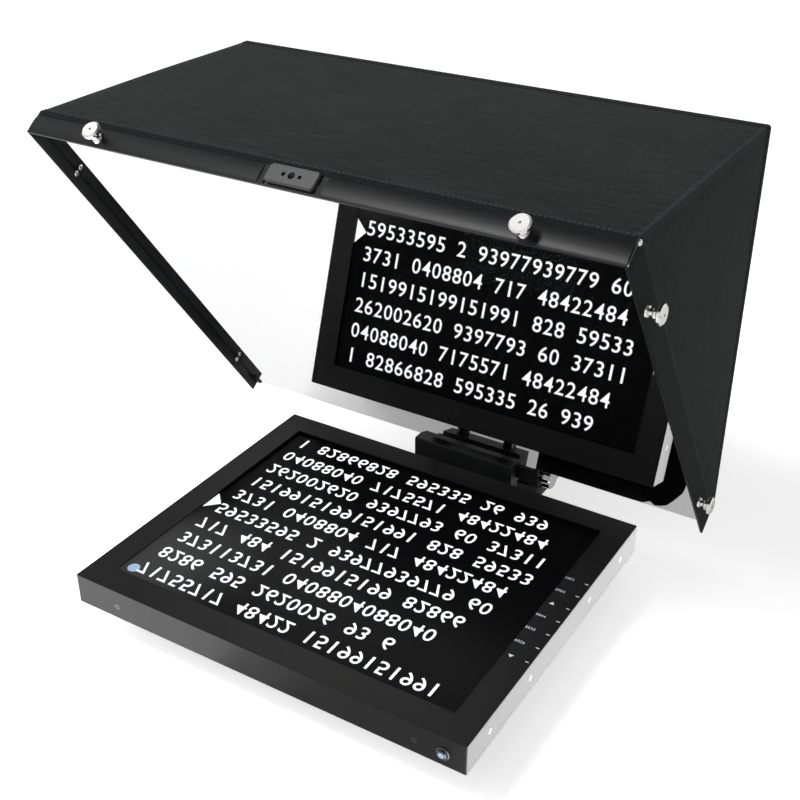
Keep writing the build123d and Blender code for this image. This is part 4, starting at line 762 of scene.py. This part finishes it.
def lens_sleeve_cloth(material):
    """Sleeve sewn to the opening and gathered by elastic at the lens end; a cloth simulation settles it."""
    around, along = 144, 18
    angles = [tau * i / around for i in range(around)]
    length = SLEEVE_HIGH.y - SLEEVE_LOW.y
    end_centre = Vector((0, SLEEVE_HIGH.y, OPENING_CENTRE.z - 8 * MM))
    start_centre = Vector((0, SLEEVE_LOW.y + 0.4 * MM, OPENING_CENTRE.z))
    wide = contour(start_centre, OPENING_HALF[0], OPENING_HALF[1], angles, 14)
    narrow = contour(end_centre, 75 * MM, 65 * MM, angles, 6)
    rows = [contour(start_centre, OPENING_HALF[0] + 4 * MM, OPENING_HALF[1] + 4 * MM, angles, 14)]
    for i in range(along + 1):
        share = i / along
        row = []
        for k, (a, b) in enumerate(zip(wide, narrow)):
            p = a.lerp(b, share)
            out = Vector((p.x, 0, p.z - OPENING_CENTRE.z)).normalized()
            pleat = sin(angles[k] * 24 + 1.3 * noise.noise(Vector((angles[k] * 2.0, share, 0.3))) * 3)
            swell = 3.2 * MM * share ** 1.3 * pleat + 4 * MM * sin(pi * share)
            row.append(p + out * swell)
        rows.append(row)
    piece = sheet_of("lens_sleeve_cloth", rows, closed=True)
    ends = piece.vertex_groups.new(name="sewn")
    seam, cuff = range(2 * around), range((along + 1) * around, (along + 2) * around)
    ends.add(list(seam) + list(cuff), 1.0, "REPLACE")
    scene = bpy.context.scene
    choose(piece)
    cloth = piece.modifiers.new("cloth", "CLOTH")
    settings = cloth.settings
    settings.quality = 6
    settings.mass = 0.2
    settings.tension_stiffness = settings.compression_stiffness = 12
    settings.bending_stiffness = 0.4
    settings.vertex_group_mass = "sewn"
    settings.shrink_min = -0.06
    cloth.point_cache.frame_start, cloth.point_cache.frame_end = 1, 26
    scene.frame_start, scene.frame_end = 1, 26
    for number in range(1, 27):
        scene.frame_set(number)
    bpy.ops.object.modifier_apply(modifier="cloth")
    scene.frame_set(1)
    piece.vertex_groups.clear()
    modify(piece, "SOLIDIFY", {"thickness": 0.9 * MM, "offset": 0.0})
    modify(piece, "SUBSURF", {"levels": 1, "render_levels": 1})
    face_out(piece)
    smooth(piece, 80)
    settle(piece, "lens_sleeve_cloth", "hood", material)
    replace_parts(piece, "lens_sleeve")
    girth = 2 * (300 + 240) * MM - (8 - tau) * 20 * MM
    return piece, (girth, 0.128)


def sleeve_elastic(material):
    """Elastic cuff at the lens end, ribbed and slightly puffed."""
    around = 120
    angles = [tau * i / around for i in range(around)]
    rows = []
    for share, out in ((0.0, -1.2), (0.04, 1.6), (0.3, 2.6), (0.7, 2.6), (0.96, 1.6), (1.0, -1.2)):
        centre = Vector((0, SLEEVE_HIGH.y - 14 * MM * (1 - share), OPENING_CENTRE.z - 8 * MM))
        row = []
        for turn in angles:
            c, s = abs(cos(turn)) / (75 * MM), abs(sin(turn)) / (65 * MM)
            reach = (c ** 6 + s ** 6) ** (-1 / 6) + (out + 0.5 * sin(turn * 60)) * MM
            row.append(centre + Vector((cos(turn), 0, sin(turn))) * reach)
        rows.append(row)
    return sewn("sleeve_elastic", rows, 1.0 * MM, 60, material, closed=True)


def opening_binding(material):
    """Flat tape sewn round the lens opening, over the sleeve's seam."""
    angles = ring_angles(160, (OPENING_HALF[0], OPENING_HALF[1]))
    rows = []
    for grow, out in ((1.0, 0.2), (2.0, 1.3), (6.5, 1.6), (11.0, 1.3), (12.0, 0.2)):
        centre = Vector((0, REAR_HIGH.y + out * MM, OPENING_CENTRE.z))
        rows.append(contour(centre, OPENING_HALF[0] + grow * MM, OPENING_HALF[1] + grow * MM, angles, 14))
    return sewn("opening_binding", rows, 0.7 * MM, 50, material, closed=True)


def opening_stitches(material):
    """Two rows of stitches on the opening's tape."""
    angles = ring_angles(160, (OPENING_HALF[0], OPENING_HALF[1]))
    for number, grow in ((1, 3.0), (2, 10.0)):
        centre = Vector((0, REAR_HIGH.y + 1.75 * MM, OPENING_CENTRE.z))
        path = contour(centre, OPENING_HALF[0] + grow * MM, OPENING_HALF[1] + grow * MM, angles, 14)
        path.append(path[0])
        sew(f"opening_stitches_{number}", path, [Vector((0, 1, 0))] * len(path), 4.4 * MM, material)


# ---------------------------------------------------------------- display
WORD_LENGTHS = ((8, 5, 11), (4, 3, 7, 2, 1), (9, 13), (3, 3, 10, 5), (8, 1, 11, 2), (4, 7, 3, 8), (16, 3, 5),
                (9, 7, 2, 5), (8, 7, 8), (1, 8, 6, 2, 3), (3, 9, 4, 7))
ROW_PITCH = 29.9 * MM
FIRST_ROW_Y = -474.0 * MM
TEXT_LEFT = -176.0 * MM
CELL = 13.1 * MM              # every character, or space, takes the same width
DIGIT_HEIGHT = 17.0 * MM
STROKE_GROWTH = 0.1 * MM
WINDOW_REAR_Y = -182.5 * MM


def digit_rows():
    """Rows of plain digits in groups: a counting pattern, so that nothing can be read in it."""
    rows, counter = [], 1
    for lengths in WORD_LENGTHS:
        words = []
        for length in lengths:
            words.append("".join(str((counter * 7 + k * 3 + k * k) % 10) for k in range(length)))
            counter += 1
        rows.append(" ".join(words))
    return rows


def digit_shapes():
    """Points and faces of the ten digits as thin plates, each centred in its cell on the display."""
    shapes = []
    for digit in range(10):
        clear_selection()
        bpy.ops.object.text_add(location=(0, 0, 0))
        made = bpy.context.object
        made.data.body = str(digit)
        made.data.size = 25 * MM
        made.data.offset = STROKE_GROWTH
        made.data.extrude = 0.06 * MM
        made.data.resolution_u = 4
        choose(made)
        bpy.ops.object.convert(target="MESH")
        made = bpy.context.object
        edit_all(made, bpy.ops.mesh.remove_doubles, threshold=0.01 * MM)
        points = [v.co.copy() for v in made.data.vertices]
        low_x, high_x = min(p.x for p in points), max(p.x for p in points)
        low_y, high_y = min(p.y for p in points), max(p.y for p in points)
        tall = DIGIT_HEIGHT / (high_y - low_y)
        wide = min(tall * 1.02, 0.8 * CELL / (high_x - low_x))
        # mirrored for the glass: the digits' tops point to the presenter
        points = [Vector(((p.x - (low_x + high_x) / 2) * wide, -(p.y - low_y) * tall, p.z)) for p in points]
        shapes.append((points, [tuple(f.vertices) for f in made.data.polygons]))
        bpy.data.objects.remove(made)
    return shapes


def display_text(material):
    """Eleven rows; the last one runs under the case, so only its tips show."""
    shapes = digit_shapes()
    verts, faces = [], []
    for number, words in enumerate(digit_rows()):
        foot = FIRST_ROW_Y + ROW_PITCH * number + DIGIT_HEIGHT / 2
        for place, character in enumerate(words):
            if character == " ":
                continue
            points, loops = shapes[int(character)]
            cell = Vector((TEXT_LEFT + (place + 0.5) * CELL, foot, DISPLAY_Z + 0.08 * MM))
            base = len(verts)
            verts += [cell + p for p in points]
            faces += [tuple(base + k for k in loop) for loop in loops]
    piece = from_mesh("display_text", verts, faces)
    edit_all(piece, bpy.ops.mesh.bisect, plane_co=(0, WINDOW_REAR_Y, 0), plane_no=(0, 1, 0),
             clear_outer=True, use_fill=True)
    face_out(piece)
    return settle(piece, "display_text", "monitor", material)


def flat_mark(name, corners, body, material, z, thick=0.1 * MM):
    """A thin plate with these corners, lying on the plane z."""
    piece = from_mesh(name, [(x, y, z) for x, y in corners], [tuple(range(len(corners)))])
    edit_all(piece, bpy.ops.mesh.extrude_region_move, TRANSFORM_OT_translate={"value": (0, 0, thick)})
    face_out(piece)
    return settle(piece, name, body, material)


def round_corners(centre, radius, count):
    return [(centre[0] + radius * cos(tau * i / count), centre[1] + radius * sin(tau * i / count))
            for i in range(count)]


def display_marks(white, blue):
    """Reading arrow at the edge of the text, and the pale blue dot in the corner."""
    z = DISPLAY_Z + 0.03 * MM
    arrow = [(-189.4 * MM, -334.3 * MM), (-189.4 * MM, -362.0 * MM), (-175.8 * MM, -348.4 * MM)]
    flat_mark("reading_arrow", arrow, "monitor", white, z)
    dot = round_corners((-179.3 * MM, -479.8 * MM), 6.2 * MM, 32)
    flat_mark("corner_dot", dot, "monitor", blue, z)


LEGEND_HEIGHT, LEGEND_CELL = 3.2 * MM, 2.6 * MM     # digits beside the keys, and the room each takes
ARROW_KEYS = {3: 1, 7: -1}                          # keys with an arrow instead, to the rear or the front


def key_legends(material):
    """Small plain signs beside the keys, numbers or an arrow, and a dash on each key's outer side."""
    z = CASE_TOP - 0.02 * MM
    shapes = digit_shapes()
    for number in range(1, 8):
        low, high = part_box(f"menu_key_{number}")
        y, right = (low.y + high.y) / 2, low.x - 0.9 * MM
        if number in ARROW_KEYS:
            way, x = ARROW_KEYS[number], right - 3.6 * MM
            foot, tip = y - way * 1.7 * MM, y + way * 2.3 * MM
            corners = [(x - 2.8 * MM, foot), (x + 2.8 * MM, foot), (x, tip)]
            flat_mark(f"key_legend_{number}", corners, "monitor", material, z, 0.08 * MM)
        else:
            verts, faces = [], []
            scale = LEGEND_HEIGHT / DIGIT_HEIGHT
            for place, digit in enumerate((number, 0, 8 - number, number)):
                points, loops = shapes[digit]
                base = len(verts)
                corner = Vector((right - (3.5 - place) * LEGEND_CELL, y - LEGEND_HEIGHT / 2, z + 0.04 * MM))
                verts += [corner + Vector((q.x * scale, -q.y * scale, q.z)) for q in points]
                faces += [tuple(base + k for k in loop) for loop in loops]
            piece = from_mesh("legend", verts, faces)
            settle(piece, f"key_legend_{number}", "monitor", material)
        dash = [(high.x + 1.0 * MM, y - 0.5 * MM), (high.x + 4.5 * MM, y - 0.5 * MM),
                (high.x + 4.5 * MM, y + 0.5 * MM), (high.x + 1.0 * MM, y + 0.5 * MM)]
        flat_mark(f"key_dash_{number}", dash, "monitor", material, z, 0.08 * MM)


# ---------------------------------------------------------------- stage
def white_where_seen(tree):
    """1 for rays that show the background: seen straight, off something glossy, or through something clear."""
    path = add(tree, "LightPath", {})
    seen = add(tree, "Math", {"operation": "MAXIMUM", 0: path.outputs["Is Camera Ray"],
                              1: path.outputs["Is Glossy Ray"]})
    return add(tree, "Math", {"operation": "MAXIMUM", 0: seen, 1: path.outputs["Is Transmission Ray"]})


def plain_sight(tree):
    """1 for a camera ray that has passed no coated glass, and little for one that has, to keep it calm."""
    path = add(tree, "LightPath", {})
    veil = add(tree, "MapRange", {"Value": path.outputs["Transparent Depth"], "From Min": 0.0, "From Max": 1.0,
                                  "To Min": 1.0, "To Max": 0.2})
    return add(tree, "Math", {"operation": "MULTIPLY", 0: path.outputs["Is Camera Ray"], 1: veil})


def make_world():
    """Even air, white where the camera sees it; to glossy things it is white low down and dim overhead."""
    world = bpy.data.worlds.new("studio")
    bpy.context.scene.world = world
    world.use_nodes = True
    tree = world.node_tree
    tree.nodes.clear()
    way = add(tree, "SeparateXYZ", {0: add(tree, "TexCoord", {}).outputs["Generated"]})
    path = add(tree, "LightPath", {})
    above = add(tree, "MapRange", {"Value": way.outputs["Z"], "From Min": 0.46, "From Max": 0.8,
                                   "To Min": 1.0, "To Max": 0.16})
    shine = add(tree, "Mix", {"data_type": "FLOAT", 0: path.outputs["Is Glossy Ray"], 2: 0.3, 3: above})
    clear = add(tree, "Math", {
        "operation": "MAXIMUM", 0: plain_sight(tree), 1: path.outputs["Is Transmission Ray"]})
    level = add(tree, "Math", {"operation": "MAXIMUM", 0: shine.outputs[0], 1: clear})
    air = add(tree, "Background", {"Color": srgb("#ffffff"), "Strength": level})
    add(tree, "OutputWorld", {"Surface": air})


def make_floor():
    """Plain pale floor: white where it is seen, with the object's soft shadow."""
    clear_selection()
    bpy.ops.mesh.primitive_plane_add(size=14.0, location=(0, 0, -0.3 * MM))
    floor = bpy.context.object
    floor.name = "floor"
    made, tree, place = start("studio_floor")
    speck = add(tree, "TexNoise", {"Vector": place, "Scale": 2.0})
    colour = add(tree, "ValToRGB", {"Fac": speck, "stops": [(0.3, srgb("#ececec")), (0.7, srgb("#f2f2f2"))]})
    matt = add(tree, "BsdfDiffuse", {"Color": colour})
    level = add(tree, "Math", {"operation": "MULTIPLY", 0: white_where_seen(tree), 1: 0.3})
    level = add(tree, "Math", {"operation": "MULTIPLY_ADD", 0: plain_sight(tree), 1: 0.35, 2: level})
    glow = add(tree, "Emission", {"Strength": level})
    shader = add(tree, "AddShader", {0: matt, 1: glow})
    add(tree, "OutputMaterial", {"Surface": shader})
    floor.data.materials.append(made)


def lamp(name, place, turn, size, power, *hidden):
    """Soft lamp that neither the camera nor these kinds of rays see."""
    clear_selection()
    bpy.ops.object.light_add(type="AREA", location=place, rotation=turn)
    made = bpy.context.object
    made.name = name
    made.data.shape = "RECTANGLE"
    made.data.size, made.data.size_y = size
    made.data.energy = power
    for kind in ("camera",) + hidden:
        setattr(made, "visible_" + kind, False)


def aimed(place, target):
    return (Vector(target) - Vector(place)).to_track_quat("-Z", "Y").to_euler()


def make_lamps():
    """Two lamps light the object; the rest only shine in its satin and polished surfaces."""
    key, sheen, softbox = (-2.0, -1.6, 1.7), (-0.62, -1.24, 2.2), (-1.08, -0.55, 2.1)
    lamp("key", key, aimed(key, (0, -0.3, 0.2)), (1.6, 1.6), 42, "glossy")
    lamp("sheen", sheen, aimed(sheen, (0.05, -0.4, 0.48)), (0.5, 0.5), 29)
    # long overhead softbox, which whitens the flat heads of the thumbscrews
    lamp("softbox", softbox, aimed(softbox, (0, -0.42, 0.49)), (0.4, 1.4), 2.0, "diffuse", "transmission")
    # bright low wall close beside the monitor, mirrored by its side at a low angle; from behind it is nothing
    low_y, high_y, tall = -0.60, -0.03, CASE_TOP - 8 * MM
    lamp("glare_side", (CASE_HIGH.x + 8 * MM, (low_y + high_y) / 2, tall / 2), (0, pi / 2, 0),
         (tall, high_y - low_y), 1.1, "diffuse", "transmission")
    # strips of very bright floor, mirrored by the monitor's front, most at its left
    near_y, far_y = -0.90, -0.53
    for name, low_x, high_x, power in (("glare_front", -0.60, -0.07, 2.9),
                                       ("glare_front_wide", -0.80, 0.0, 1.1)):
        lamp(name, ((low_x + high_x) / 2, (near_y + far_y) / 2, 4 * MM), (pi, 0, 0),
             (high_x - low_x, far_y - near_y), power, "diffuse", "transmission")


def dark_card():
    """Painted shade: a black card under the rig that only the glass mirrors, as deep shade among a rig's legs
    looks.
    """
    corners = ((60, -250), (250, -250), (232, -147), (231, -144), (224, -134), (217, -126), (210, -123),
               (204, -122), (198, -125), (190, -121), (60, -118))
    card = from_mesh("dark_card", [(x * MM, y * MM, 6 * MM) for x, y in corners], [tuple(range(len(corners)))])
    made, tree, place = start("painted_shade_felt")
    felt = add(tree, "TexNoise", {"Vector": place, "Scale": per_metre(20)})
    colour = add(tree, "ValToRGB", {"Fac": felt, "stops": [(0.3, srgb("#0c0c0c")), (0.7, srgb("#161616"))]})
    add(tree, "OutputMaterial", {"Surface": add(tree, "BsdfDiffuse", {"Color": colour})})
    card.data.materials.append(made)
    for kind in ("camera", "diffuse", "shadow", "transmission"):
        setattr(card, "visible_" + kind, False)


def make_camera():
    clear_selection()
    bpy.ops.object.camera_add(location=(0.55396, -1.17190, 0.81598), rotation=(1.05043, 0.00071, 0.55159))
    camera = bpy.context.object
    camera.data.sensor_width = 36.0
    camera.data.lens = 55.76
    camera.data.clip_start = 0.01
    bpy.context.scene.camera = camera


# ---------------------------------------------------------------- scene
def main():
    make_camera()
    make_world()
    make_floor()
    make_lamps()
    dark_card()
    bpy.context.scene.view_settings.view_transform = "Standard"

    nylon, tape, thread = hood_nylon(), binding_tape(), sewing_thread()
    coat = powder_coated_steel()
    dress("frame_coat", coat)
    dress("bracket_coat", black_anodised("milled_anodised", 1.2, 0.42, 0.55))
    dress("rod_coat", black_anodised("drawn_anodised", 0.8, 0.28, 0.38))
    dress("monitor_coat", grained_paint())
    dress("screen", display_film())
    dress("white_plastic", white_polycarbonate())
    dress("circuit_board", solder_mask())
    dress("coated_glass", beam_splitter())
    dress("hood_fabric", nylon)
    dress("black_rubber", moulded_rubber())
    nickel = nickel_plate()
    dress("bright_steel", nickel)
    dress("dark_steel", black_zinc())
    dress("black_plastic", black_abs())
    dress("lit_button", lit_acrylic())
    dress("accessory_grey", grey_anodised())

    skin, skin_cut, skin_area = hood_cloth(nylon)
    rear, rear_cut, rear_area = hood_rear_cloth(nylon)
    sleeve, sleeve_cut = lens_sleeve_cloth(knitted_elastane())
    hood_hem(tape)
    fascia_trim(coat)
    corner_screws(nickel)
    hood_rear_binding(tape)
    sleeve_elastic(tape)
    opening_binding(tape)
    hem_stitches(thread)
    binding_stitches(thread)
    opening_stitches(thread)

    white = lit_mark("lit_white", "#f6f8ff", 1.25)
    display_text(white)
    display_marks(white, lit_mark("lit_blue", "#a9c4ea", 0.85))
    key_legends(legend_ink())


main()
